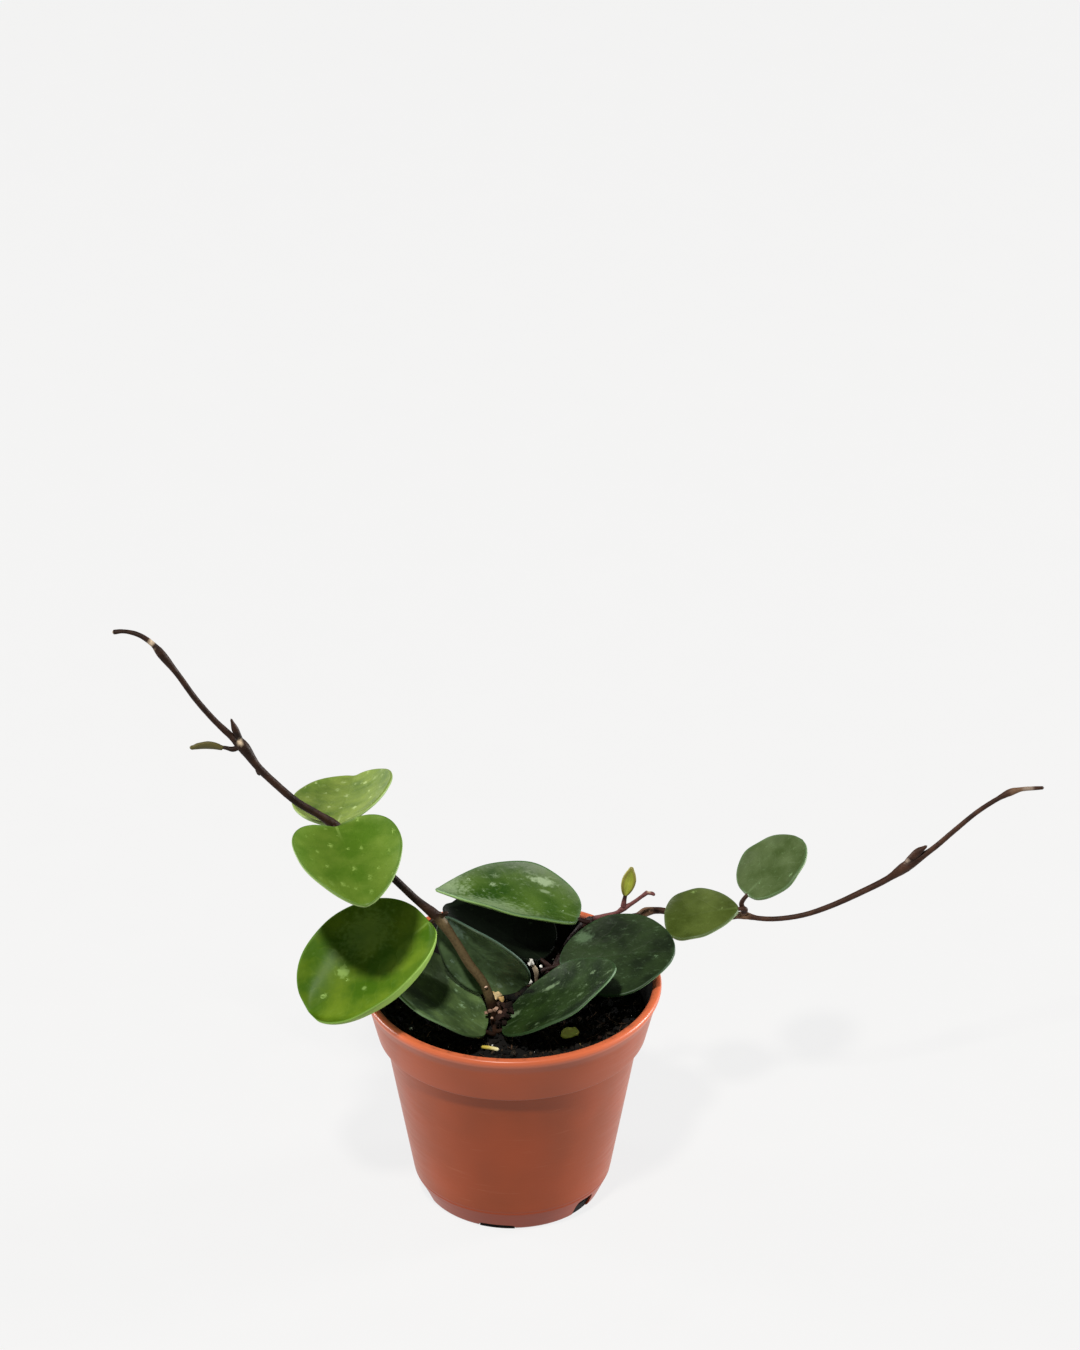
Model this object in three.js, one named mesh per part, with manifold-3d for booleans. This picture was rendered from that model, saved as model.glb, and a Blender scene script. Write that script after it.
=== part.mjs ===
// Potted hoya: rooted vine cuttings in a small plastic nursery pot. Millimetres and degrees, +Z up.
// The origin is the centre of the pot's flat underside. Seen from the front, +X is right and +Y is away.
import * as THREE from 'three';
import { mergeVertices } from 'three/addons/utils/BufferGeometryUtils.js';
import Module from 'manifold-3d';

const wasm = await Module();
wasm.setup();

// Pot
const POT_HEIGHT = 48.2;
const RIM_RADIUS = 30;
const BASE_RADIUS = 17;
const WALL = 0.8;
const FLOOR = 1.2;
const COLLAR_HEIGHT = 11;
const STEP_WIDTH = 1.5;
const FOOT_HEIGHT = 5;
const FOOT_RADIUS = 19.9;
const WAIST_RADIUS = 25.5;
const SHOULDER_RADIUS = 28.9;
const LIP_HEIGHT = 3.4;
const POT_SIDES = 48;
// Low slots and tall notches take turns round the foot.
const DRAIN_OPENINGS = 6;
const DRAIN_START = -10;
const DRAIN_SLOT = { width: 7.5, height: 1.3, inner: 13.2, outer: 21 };
const DRAIN_NOTCH = { width: 5, height: 4.2, inner: 13.2, outer: 21 };

// Soil
const SOIL_LEVEL = 40.3;
const SOIL_LUMP = 0.55;
const SOIL_RINGS = 11;
// The surface is a sum of sines: each wave's turn per millimetre of x and of y, and its start.
const SOIL_WAVES = [
  [0.9, 0.4, 0],
  [-0.5, 1.3, 1],
  [0.7, 0.7, 2.1],
];
const SOIL_FLAT = { from: 2, to: 6 };
const SEAT_GAP = 0.3;
const STALK_GAP = 0.4;
const HOLE_DEPTH = 6.5;
const HOLE_SIDES = 12;

// Leaves and stems
const BLADE_THICKNESS = 0.9;
const BLADE_EDGE = 0.65;
const BLADE_END = 0.5;
const BLADE_ROWS = 12;
const BLADE_COLUMNS = 6;
const MIDRIB_STEPS = 480;
const RIM_WIDTH = 5;
const STEM_SIDES = 8;
const STEM_STEPS = 2;
const PETIOLE_SIDES = 6;
const PETIOLE_RADII = { node: 0.65, bend: 0.5, end: 0.4 };
// How far back from the blade a stalk bends, and how far that bend leans to the node, as shares.
const PETIOLE_BEND = 0.35;
const PETIOLE_LEAN = 0.15;

const radians = THREE.MathUtils.degToRad;

// Where each cutting stands in the soil, and the radius of its stem there.
const CUTTINGS = [
  { x: -3.2, y: -6.2, radius: 0.95 },
  { x: 8.5, y: 9.8, radius: 0.85 },
  { x: 16.2, y: 14.8, radius: 0.75 },
];

// Each stem is a list of stations [x, y, z, radius] from its foot in the soil to its tip.
const LEFT_VINE = [
  [-3.2, -6.2, 34.3, 0.95],
  [-3.2, -6.2, 41, 0.95],
  [-3.6, -6.2, 44.5, 1.1],
  [-5.6, -6, 51.2, 0.95],
  [-8.4, -5.6, 55.5, 0.95],
  [-11.3, -5.2, 60.9, 0.9],
  [-14.6, -5, 66, 1.15],
  [-19, -4.5, 70.1, 0.8],
  [-23, -4, 74.3, 0.8],
  [-29, -3, 80.1, 0.8],
  [-34.8, -2.6, 86, 1.05],
  [-38.1, -2.9, 88.8, 0.78],
  [-42.2, -3, 91.7, 0.78],
  [-46.4, -2.5, 95.6, 0.78],
  [-49.8, -2, 99.2, 0.8],
  [-52.8, -1, 103.4, 1.25],
  [-55.2, -0.4, 105.5, 0.7],
  [-58.3, 0.2, 108.6, 0.62],
  [-61.9, 1, 113, 0.62],
  [-65.2, 2, 117.8, 0.62],
  [-68.3, 2.6, 122, 0.9],
  [-70.1, 3, 124.2, 0.55],
  [-72.7, 3.5, 125.9, 0.5],
  [-75.6, 4, 126.4, 0.42],
  [-77.9, 4, 126.2, 0.5],
];
const BACK_VINE = [
  [8.5, 9.8, 34.3, 0.85],
  [8.5, 9.8, 41.2, 0.85],
  [8.7, 10.8, 43.8, 0.85],
  [10.4, 13.8, 46.4, 0.8],
  [13.2, 16, 49.6, 0.8],
  [15.6, 16, 52.4, 1.05],
];
const SIDE_SHOOT = [
  [15.6, 16, 52.4, 0.6],
  [18.4, 15.8, 53.4, 0.45],
  [21, 15.2, 54.5, 0.45],
  [22.4, 15, 55.7, 0.65],
  [24, 15, 56.8, 0.42],
  [25.8, 15, 58.3, 0.4],
  [27.4, 15, 59.7, 0.5],
];
const RIGHT_VINE = [
  [16.2, 14.8, 34.3, 0.75],
  [16.2, 14.8, 41.6, 0.75],
  [17.2, 16.6, 45.2, 0.75],
  [19.2, 18.3, 48.4, 0.75],
  [21.4, 18.5, 50.7, 0.7],
  [25.4, 18.4, 51.6, 0.9],
  [26.8, 18.6, 52.5, 1],
  [29, 19, 52.7, 0.72],
  [31.4, 19.2, 52.3, 0.66],
  [36, 19, 51, 0.5],
  [41, 18, 51.3, 0.5],
  [44.9, 16.5, 52.8, 0.55],
  [46.4, 15.6, 53.7, 0.85],
  [49.5, 15.1, 53.3, 0.52],
  [53, 15, 53.2, 0.52],
  [58.5, 15, 54.1, 0.54],
  [64.1, 15, 56.3, 0.58],
  [70.8, 15.5, 59.6, 0.65],
  [75.3, 16, 62, 0.68],
  [79, 16.4, 64.7, 1.15],
  [84.2, 17, 68.4, 0.58],
  [88.6, 17.5, 72.5, 0.54],
  [93, 18, 76.5, 0.5],
  [96.9, 18.5, 79.2, 0.5],
  [99.7, 19, 80.6, 0.75],
  [102, 19, 81.3, 0.45],
  [104.2, 19, 81.5, 0.42],
  [106.4, 19.4, 81.4, 0.35],
];

// Buds that grew out of a node and, last, the cut stub of the mother stem: stations [x, y, z, radius].
const LEFT_VINE_BUDS = [
  [[-52.8, -1, 103.8, 0.6], [-54, -1, 106.8, 0.75], [-54.9, -1, 109.6, 0.25]],
  [[-53.4, -1, 103.2, 0.6], [-54.6, -1, 102.6, 0.55], [-56, -1, 102.9, 0.4]],
  [[-50, -2, 98.9, 0.5], [-49.6, -2.1, 97.9, 0.5], [-49.4, -2.2, 97.3, 0.3]],
  [[-3.3, -6, 43.2, 0.8], [-2.5, -4.9, 42.8, 1.1], [-2.5, -4.3, 44.4, 1.2], [-2.8, -4.1, 46, 1.1]],
];
const RIGHT_VINE_BUDS = [
  [[79, 16.4, 65.2, 0.8], [81.2, 16.5, 67.9, 0.85], [83.2, 16.5, 69.6, 0.3]],
];
const SIDE_SHOOT_BUDS = [
  [[27, 15, 59.3, 0.35], [28.1, 14.9, 59.3, 0.4], [28.7, 14.8, 58.9, 0.3]],
];

// Each leaf leaves the point `base` along `heading` (round +Z from +X) and `pitch` (above level).
// `droop` and `swing` bend its midrib down and sideways by its tip, `roll` and `twist` turn it about the
// midrib at its base and by its tip, and `cup` is the half angle of the arc that its cross section
// follows. `belly` is where along its length it is widest, and a smaller `baseFullness` or
// `tipFullness` makes that end rounder. `lobe` sets its shoulders back, and `rim` turns up its left edge.
const LEAVES = [
  {
    name: 'leaf_upper_back', node: [-34.8, -2.6, 86.1], colour: '#6a8438',
    base: [-34.3, -1.3, 85.3], heading: 83.3, pitch: -8.7, roll: -12.7, twist: -3.4, length: 25.4,
    width: 21.8, cup: 35.2, belly: 0.46, baseFullness: 0.4, tipFullness: 0.54, lobe: 0.9,
  },
  {
    name: 'leaf_upper_front', node: [-34.8, -2.6, 86.1], colour: '#5a7f28',
    base: [-34.6, -4.2, 86.6], heading: -75, pitch: -2, roll: 3, length: 25, width: 23, droop: 12,
    cup: 38, belly: 0.4, baseFullness: 0.45, tipFullness: 0.55, lobe: 0.6,
  },
  {
    name: 'leaf_cupped', node: [-14.6, -5, 66], colour: '#5c8620', rows: 14, columns: 10,
    base: [-16.2, -6, 65.6], heading: 206.4, pitch: -30.9, roll: -16.4, twist: -8.3, length: 29.9,
    width: 27.1, droop: -5.3, swing: -3.6, cup: 32.2, belly: 0.49, baseFullness: 0.4,
    tipFullness: 0.38, lobe: 0.8, rim: 5.4,
  },
  {
    name: 'leaf_hanging', node: [-14.4, -5, 65.6], colour: '#2c4a38',
    base: [-13.6, -2.5, 64.6], heading: -13.3, pitch: -48.7, roll: 111.1, twist: 0.6, length: 22.6,
    width: 17.4, droop: -9.5, swing: 18.7, cup: 28.2, belly: 0.56, baseFullness: 0.46,
    tipFullness: 0.52, lobe: 0.4,
  },
  {
    name: 'leaf_low_left', node: [-3.2, -6.4, 41.8], colour: '#3c5a35',
    base: [-5.2, -9.9, 42.4], heading: 171.9, pitch: 32.6, roll: 2.3, twist: 1.1, length: 25.9,
    width: 24.2, droop: 1.2, swing: -2.1, cup: 24.6, belly: 0.5, baseFullness: 0.49,
    tipFullness: 0.6, lobe: 0.7,
  },
  {
    name: 'leaf_low_right', node: [-3, -6.4, 41.8], colour: '#35502f',
    base: [-1.9, -9, 42.2], heading: -2, pitch: 33, roll: 2, length: 27, width: 18.5, swing: 5,
    cup: 15, belly: 0.5, baseFullness: 0.48, tipFullness: 0.55, lobe: 0.4,
  },
  {
    name: 'leaf_shaded', node: [8.5, 10.6, 43], colour: '#1d2f20',
    base: [5.9, 10.1, 46.5], heading: 138.6, pitch: 12.8, roll: 5.9, twist: -3.2, length: 25,
    width: 21.5, droop: 11.5, swing: -1.6, cup: 34.9, belly: 0.45, baseFullness: 0.48,
    tipFullness: 0.5, lobe: 0.8,
  },
  {
    name: 'leaf_right', node: [8.5, 10.4, 42.6], colour: '#2c4a2c',
    base: [9.5, 3.6, 49.3], heading: 3.7, pitch: 11.3, roll: 20.4, twist: -2.2, length: 23.7,
    width: 21.1, droop: 1.7, swing: -18.3, cup: 5.7, belly: 0.53, baseFullness: 0.5,
    tipFullness: 0.55, lobe: 0.2,
  },
  {
    name: 'leaf_top', node: [15.6, 16, 52.6], colour: '#4a7a1e',
    base: [13.3, 12.1, 54.9], heading: 168.6, pitch: 15.8, roll: -2.4, twist: 2.3, length: 29.8,
    width: 20.3, droop: 19.8, swing: -2.5, cup: 42.9, belly: 0.45, baseFullness: 0.47,
    tipFullness: 0.94, lobe: 0.8,
  },
  {
    name: 'leaf_runner_low', node: [46.4, 15.5, 54], colour: '#5a6b2b',
    base: [45.7, 14, 56.2], heading: 180, pitch: -8, roll: -15, length: 15.5, width: 14, droop: 12,
    cup: 16, belly: 0.6, baseFullness: 0.5, tipFullness: 0.42, lobe: 0.2,
  },
  {
    name: 'leaf_runner_high', node: [47, 15.8, 54.2], colour: '#52703f',
    base: [47.2, 15.4, 58.5], heading: 33, pitch: 33, roll: -1, length: 16, width: 16,
    cup: 19, belly: 0.48, baseFullness: 0.45, tipFullness: 0.55, lobe: 0.5,
  },
  {
    name: 'young_leaf_left', node: [-56, -1, 102.9], colour: '#6d7a3c', rows: 6, columns: 4,
    base: [-56.4, -1, 103], heading: 180, pitch: 14, roll: 55, length: 6.8, width: 2.6, droop: 30,
    cup: 35, belly: 0.5, baseFullness: 0.7, tipFullness: 1, lobe: 0,
  },
  {
    name: 'young_leaf_shoot', node: [22.4, 15, 55.9], colour: '#8a8f3a', rows: 6, columns: 4,
    base: [22.7, 14.9, 58.6], heading: 20, pitch: 78, roll: 75, length: 6.8, width: 3, droop: 0,
    cup: 35, belly: 0.5, baseFullness: 0.6, tipFullness: 0.8, lobe: 0,
  },
];

// Turns rings of points into one closed body. Each ring runs anticlockwise about the direction of travel.
// From column `mirrorFrom` on, faces are split along their other diagonal, so that the two faces of a
// thin blade are split alike and never cross.
function closedBody(rings, mirrorFrom = Infinity) {
  const count = rings[0].length;
  const vertices = rings.flat();
  const triangles = [];
  for (let i = 0; i < rings.length - 1; i++) {
    for (let j = 0; j < count; j++) {
      const next = (j + 1) % count;
      const a = i * count + j;
      const b = i * count + next;
      const c = (i + 1) * count + next;
      const d = (i + 1) * count + j;
      if (j < mirrorFrom) {
        triangles.push(a, b, c, a, c, d);
      } else {
        triangles.push(a, b, d, b, c, d);
      }
    }
  }
  const lastRing = (rings.length - 1) * count;
  for (const [start, flip] of [[0, true], [lastRing, false]]) {
    const centre = new THREE.Vector3();
    for (let j = 0; j < count; j++) {
      centre.add(vertices[start + j]);
    }
    vertices.push(centre.divideScalar(count));
    for (let j = 0; j < count; j++) {
      const here = start + j;
      const next = start + (j + 1) % count;
      triangles.push(vertices.length - 1, flip ? next : here, flip ? here : next);
    }
  }
  const geometry = new THREE.BufferGeometry().setFromPoints(vertices);
  geometry.setIndex(triangles);
  return geometry;
}

// A round stem through stations [x, y, z, radius], with rings carried along without twisting.
function taperedStem(stations, sides = STEM_SIDES) {
  const points = stations.map(([x, y, z]) => new THREE.Vector3(x, y, z));
  const curve = new THREE.CatmullRomCurve3(points, false, 'centripetal');
  const spans = stations.length - 1;
  const steps = spans * STEM_STEPS;
  const side = new THREE.Vector3(0, 1, 0);
  const rings = [];
  for (let i = 0; i <= steps; i++) {
    const along = i / steps;
    const centre = curve.getPoint(along);
    const tangent = curve.getTangent(along);
    side.addScaledVector(tangent, -side.dot(tangent)).normalize();
    const other = tangent.clone().cross(side);
    const span = Math.min(Math.floor(along * spans), spans - 1);
    const part = THREE.MathUtils.smoothstep(along * spans - span, 0, 1);
    const radius = THREE.MathUtils.lerp(stations[span][3], stations[span + 1][3], part);
    const ring = [];
    for (let j = 0; j < sides; j++) {
      const angle = 2 * Math.PI * j / sides;
      ring.push(centre.clone()
        .addScaledVector(side, radius * Math.cos(angle))
        .addScaledVector(other, radius * Math.sin(angle)));
    }
    rings.push(ring);
  }
  return closedBody(rings);
}

// The leaf's own axes at one place along its midrib: forward, to its left, and out of its upper face.
function bladeAxes(leaf, along) {
  const heading = radians(leaf.heading + (leaf.swing ?? 0) * along);
  const pitch = radians(leaf.pitch - (leaf.droop ?? 0) * along);
  const roll = radians(leaf.roll + (leaf.twist ?? 0) * along);
  const forward = new THREE.Vector3(
    Math.cos(heading) * Math.cos(pitch),
    Math.sin(heading) * Math.cos(pitch),
    Math.sin(pitch),
  );
  const level = new THREE.Vector3(-Math.sin(heading), Math.cos(heading), 0);
  const upright = forward.clone().cross(level);
  const left = level.clone().multiplyScalar(Math.cos(roll)).addScaledVector(upright, Math.sin(roll));
  const normal = upright.multiplyScalar(Math.cos(roll)).addScaledVector(level, -Math.sin(roll));
  return { forward, left, normal };
}

// A leaf blade as one closed body: its midrib is followed step by step, its half width is
// width / 2 * sin(pi * u) ^ fullness with u = along ^ (log 0.5 / log belly), and each cross section
// is an arc, thickest at the midrib. A rim is added to it as a parabola over the last few millimetres.
function bladeBody(leaf) {
  const rows = leaf.rows ?? BLADE_ROWS;
  const columns = leaf.columns ?? BLADE_COLUMNS;
  const step = leaf.length / MIDRIB_STEPS;
  const cup = radians(leaf.cup);
  const skew = Math.log(0.5) / Math.log(leaf.belly);
  const spine = new THREE.Vector3(...leaf.base);
  const rings = [];
  let travelled = 0;
  for (let i = 0; i <= rows; i++) {
    const along = 0.5 - 0.5 * Math.cos(Math.PI * i / rows);
    while (travelled < along * leaf.length - step / 2) {
      spine.addScaledVector(bladeAxes(leaf, travelled / leaf.length).forward, step);
      travelled += step;
    }
    const { forward, left, normal } = bladeAxes(leaf, along);
    const fullness = THREE.MathUtils.lerp(leaf.baseFullness, leaf.tipFullness, along);
    const outline = Math.max(Math.sin(Math.PI * along ** skew), 0) ** fullness;
    const half = Math.max(leaf.width / 2 * outline, BLADE_END);
    const rim = (leaf.rim ?? 0) * outline;
    const upper = [];
    const lower = [];
    for (let j = 0; j <= columns; j++) {
      const across = 1 - 2 * j / columns;
      const angle = cup * across;
      const near = Math.max(1 - half * (1 - Math.abs(across)) / RIM_WIDTH, 0);
      const raised = rim * near ** 2 * (1 + across) / 2;
      const nearer = near * (1 + across) * Math.sign(across) * half / RIM_WIDTH;
      const climb = half * Math.sin(angle) + rim * (near ** 2 / 2 + nearer);
      const lean = Math.atan2(climb, half * Math.cos(angle));
      const centre = spine.clone()
        .addScaledVector(left, half * Math.sin(angle) / cup)
        .addScaledVector(normal, half * (1 - Math.cos(angle)) / cup + raised)
        .addScaledVector(forward, -leaf.lobe * outline * across ** 2 * (1 - along) ** 2);
      const outward = normal.clone().multiplyScalar(Math.cos(lean)).addScaledVector(left, -Math.sin(lean));
      const thickness = THREE.MathUtils.lerp(BLADE_THICKNESS, BLADE_EDGE, across ** 2);
      upper.push(centre.clone().addScaledVector(outward, thickness / 2));
      lower.unshift(centre.addScaledVector(outward, -thickness / 2));
    }
    rings.push([...upper, ...lower]);
  }
  return closedBody(rings, columns + 1);
}

// The short stalk that carries a leaf: from its node to just short of the blade.
function petiole(leaf) {
  const { forward } = bladeAxes(leaf, 0);
  const end = new THREE.Vector3(...leaf.base).addScaledVector(forward, -STALK_GAP);
  const node = new THREE.Vector3(...leaf.node);
  const reach = node.distanceTo(end);
  const bend = end.clone().addScaledVector(forward, -reach * PETIOLE_BEND).lerp(node, PETIOLE_LEAN);
  const stations = [
    [...node, PETIOLE_RADII.node],
    [...bend, PETIOLE_RADII.bend],
    [...end, PETIOLE_RADII.end],
  ];
  return taperedStem(stations, PETIOLE_SIDES);
}

// A manifold solid from a closed three.js geometry.
function solidOf(geometry) {
  const bare = geometry.clone();
  bare.deleteAttribute('normal');
  bare.deleteAttribute('uv');
  const merged = mergeVertices(bare, 1e-5);
  const index = merged.index.array;
  const kept = [];
  for (let i = 0; i < index.length; i += 3) {
    const [a, b, c] = index.slice(i, i + 3);
    if (a !== b && b !== c && c !== a) {
      kept.push(a, b, c);
    }
  }
  const mesh = new wasm.Mesh({
    numProp: 3,
    vertProperties: new Float32Array(merged.attributes.position.array),
    triVerts: new Uint32Array(kept),
  });
  return new wasm.Manifold(mesh);
}

// A three.js geometry from a manifold solid.
function geometryOf(solid) {
  const mesh = solid.getMesh();
  const geometry = new THREE.BufferGeometry();
  geometry.setAttribute('position', new THREE.BufferAttribute(mesh.vertProperties, 3));
  geometry.setIndex(new THREE.BufferAttribute(mesh.triVerts, 1));
  return geometry;
}

function join(geometries) {
  return geometries.map(solidOf).reduce((whole, piece) => whole.add(piece));
}

// The pot's outer side from its underside up to the lip, as [radius, height]. The small fixed steps
// are the bevel of its foot and the rounding of its lip.
function potOutside() {
  const step = POT_HEIGHT - COLLAR_HEIGHT;
  return [
    [BASE_RADIUS, 0],
    [BASE_RADIUS + 0.8, 0.4],
    [BASE_RADIUS + 1.3, 1.5],
    [FOOT_RADIUS, FOOT_HEIGHT],
    [WAIST_RADIUS, step - 0.8],
    [WAIST_RADIUS + STEP_WIDTH, step],
    [SHOULDER_RADIUS, POT_HEIGHT - LIP_HEIGHT],
    [RIM_RADIUS - 0.4, POT_HEIGHT - 1.7],
    [RIM_RADIUS, POT_HEIGHT - 0.9],
    [RIM_RADIUS - 0.2, POT_HEIGHT - 0.25],
    [RIM_RADIUS - 0.8, POT_HEIGHT],
  ];
}

// The pot's inner side from the lip down to its floor, one wall in from the outside.
function potInside() {
  const step = POT_HEIGHT - COLLAR_HEIGHT;
  return [
    [RIM_RADIUS - 1.5, POT_HEIGHT],
    [SHOULDER_RADIUS - WALL, POT_HEIGHT - 0.5],
    [SHOULDER_RADIUS - WALL, POT_HEIGHT - LIP_HEIGHT],
    [WAIST_RADIUS + STEP_WIDTH - WALL, step],
    [WAIST_RADIUS - WALL, step - 1.2],
    [FOOT_RADIUS - WALL, FOOT_HEIGHT],
    [BASE_RADIUS + 0.3, FLOOR + 0.5],
    [BASE_RADIUS - 0.6, FLOOR],
  ];
}

function turned(profile, sides) {
  const points = profile.map(([radius, height]) => new THREE.Vector2(radius, height));
  return new THREE.LatheGeometry(points, sides).rotateX(Math.PI / 2);
}

function potBody() {
  let pot = solidOf(turned([[0, 0], ...potOutside(), ...potInside(), [0, FLOOR]], POT_SIDES));
  for (let i = 0; i < DRAIN_OPENINGS; i++) {
    const { width, height, inner, outer } = i % 2 ? DRAIN_NOTCH : DRAIN_SLOT;
    const opening = new THREE.BoxGeometry(outer - inner, width, 2 * height);
    opening.translate((inner + outer) / 2, 0, 0);
    opening.rotateZ(radians(DRAIN_START - 90 + i * 360 / DRAIN_OPENINGS));
    pot = pot.subtract(solidOf(opening));
  }
  return geometryOf(pot);
}

// The height of the soil's lumps: crossed waves, flat where a stem stands.
function soilLump(x, y) {
  let waves = 0;
  for (const [turnX, turnY, start] of SOIL_WAVES) {
    waves += Math.sin(turnX * x + turnY * y + start);
  }
  let flat = 1;
  for (const cutting of CUTTINGS) {
    const away = Math.hypot(x - cutting.x, y - cutting.y);
    flat *= THREE.MathUtils.smoothstep(away, SOIL_FLAT.from, SOIL_FLAT.to);
  }
  return SOIL_LUMP / SOIL_WAVES.length * waves * flat;
}

function soilBody() {
  const inside = potInside().slice(3);
  const wallAt = (height) => {
    const i = inside.findIndex(([, z]) => z <= height);
    const [upper, lower] = [potInside()[i + 2], inside[i]];
    const part = (height - lower[1]) / (upper[1] - lower[1]);
    return THREE.MathUtils.lerp(lower[0], upper[0], part);
  };
  const topRadius = wallAt(SOIL_LEVEL) - SEAT_GAP;
  const profile = [[0, FLOOR + SEAT_GAP]];
  for (const [radius, height] of inside.reverse()) {
    profile.push([radius - SEAT_GAP, height + SEAT_GAP]);
  }
  for (let i = SOIL_RINGS; i >= 0; i--) {
    profile.push([topRadius * i / SOIL_RINGS, SOIL_LEVEL]);
  }
  const heap = turned(profile, POT_SIDES);
  const position = heap.attributes.position;
  for (let i = 0; i < position.count; i++) {
    const [x, y, z] = [position.getX(i), position.getY(i), position.getZ(i)];
    if (z > SOIL_LEVEL - 1e-3) {
      position.setZ(i, z + soilLump(x, y));
    }
  }
  let soil = solidOf(heap);
  for (const { x, y, radius } of CUTTINGS) {
    const hole = new THREE.CylinderGeometry(radius + SEAT_GAP, radius + SEAT_GAP, 2 * HOLE_DEPTH, HOLE_SIDES);
    hole.rotateX(Math.PI / 2).translate(x, y, SOIL_LEVEL);
    soil = soil.subtract(solidOf(hole));
  }
  return geometryOf(soil);
}

// A vine: its stem, side stems and buds, and the stalks of the leaves that grow on it, all in one.
function vineBody(stems, buds, leafNames) {
  const stalks = LEAVES.filter((leaf) => leafNames.includes(leaf.name)).map(petiole);
  const pieces = stems.map((stations) => taperedStem(stations));
  const shoots = buds.map((stations) => taperedStem(stations, PETIOLE_SIDES));
  return geometryOf(join([...pieces, ...shoots, ...stalks]));
}

const hoya = new THREE.Group();

function addPiece(name, geometry, color, roughness) {
  const material = new THREE.MeshStandardMaterial({ color, roughness, metalness: 0 });
  const mesh = new THREE.Mesh(geometry, material);
  mesh.name = name;
  hoya.add(mesh);
}

addPiece('pot', potBody(), '#a0523a', 0.5);
addPiece('soil', soilBody(), '#15110e', 0.95);
addPiece(
  'left_vine',
  vineBody([LEFT_VINE], LEFT_VINE_BUDS, [
    'leaf_upper_back', 'leaf_upper_front', 'leaf_cupped', 'leaf_hanging', 'leaf_low_left', 'leaf_low_right',
  ]),
  '#4a2f24',
  0.7,
);
addPiece(
  'back_vine',
  vineBody([BACK_VINE, SIDE_SHOOT], SIDE_SHOOT_BUDS, [
    'leaf_shaded', 'leaf_right', 'leaf_top', 'young_leaf_shoot',
  ]),
  '#4d3029',
  0.7,
);
addPiece(
  'right_vine',
  vineBody([RIGHT_VINE], RIGHT_VINE_BUDS, ['leaf_runner_low', 'leaf_runner_high']),
  '#3d2822',
  0.7,
);
for (const leaf of LEAVES) {
  addPiece(leaf.name, bladeBody(leaf), leaf.colour, 0.45);
}

export default hoya;
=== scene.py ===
"""Potted hoya: three rooted cuttings of a waxy-leaved trailing plant in a small nursery pot.

Sizes are millimetres and angles are degrees throughout; a mesh is turned to metres as it is made.
The origin is the centre of the pot's flat underside, +X is right, +Y is away and +Z is up.
"""

import logging
from dataclasses import dataclass, field
from enum import Enum
from typing import Any

import bpy
import numpy as np
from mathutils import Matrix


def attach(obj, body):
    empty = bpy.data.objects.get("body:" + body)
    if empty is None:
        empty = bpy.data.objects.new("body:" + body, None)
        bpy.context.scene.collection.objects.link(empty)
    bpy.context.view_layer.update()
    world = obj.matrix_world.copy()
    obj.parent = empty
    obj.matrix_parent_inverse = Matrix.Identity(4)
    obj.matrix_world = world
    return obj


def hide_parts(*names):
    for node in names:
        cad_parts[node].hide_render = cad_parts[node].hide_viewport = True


log = logging.getLogger("potted_hoya")

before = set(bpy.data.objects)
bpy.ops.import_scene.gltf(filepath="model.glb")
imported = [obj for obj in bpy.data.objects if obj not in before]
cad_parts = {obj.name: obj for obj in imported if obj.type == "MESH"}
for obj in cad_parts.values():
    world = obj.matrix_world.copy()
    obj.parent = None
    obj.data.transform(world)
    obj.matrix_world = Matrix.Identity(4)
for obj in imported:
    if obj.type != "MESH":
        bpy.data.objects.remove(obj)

MM = 0.001
SEED = 20817
UP = np.array([0, 0, 1])

# A place, a place with its radius, reach or like, and what one node hands to the next.
Point = tuple[float, float, float]
Station = tuple[float, float, float, float]
Socket = bpy.types.NodeSocket


# Small shared tools


def linear(colour: str) -> tuple[float, float, float, float]:
    """Turn an sRGB hex colour into linear red, green, blue and a full alpha.

    Args:
        colour: the colour as "#rrggbb".

    Returns:
        Four numbers from 0 to 1.
    """
    channels = [int(colour[i : i + 2], 16) / 255 for i in (1, 3, 5)]
    turned = [c / 12.92 if c <= 0.04045 else ((c + 0.055) / 1.055) ** 2.4 for c in channels]
    return (*turned, 1.0)


def smoothstep(value: np.ndarray, low: float, high: float) -> np.ndarray:
    """Ease from 0 at low to 1 at high, by part * part * (3 - 2 * part)."""
    part = np.clip((value - low) / (high - low), 0, 1)
    return part * part * (3 - 2 * part)


def rounding(distance: np.ndarray, radius: np.ndarray | float) -> np.ndarray:
    """Height of a quarter circle of that radius, as a share of it, at a distance in from its edge."""
    return np.sqrt(np.clip(1 - (1 - np.clip(distance / radius, 0, 1)) ** 2, 0, 1))


def circle(count: int) -> np.ndarray:
    """So many equal steps round a circle, in radians."""
    return 2 * np.pi * np.arange(count) / count


def spokes(turn: np.ndarray | float) -> np.ndarray:
    """Level vectors, one long, at angles round +Z from +X."""
    return np.stack([np.cos(turn), np.sin(turn), 0 * turn], -1)


def unit(vectors: np.ndarray) -> np.ndarray:
    """Vectors along the last axis, each made one long."""
    return vectors / np.maximum(np.linalg.norm(vectors, axis=-1, keepdims=True), 1e-12)


# How a Mix node mixes colours, and how a Map Range node eases from one end to the other.
COLOURS = {"data_type": "RGBA", "output": 2}
EASE = {"interpolation_type": "SMOOTHSTEP"}


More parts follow.
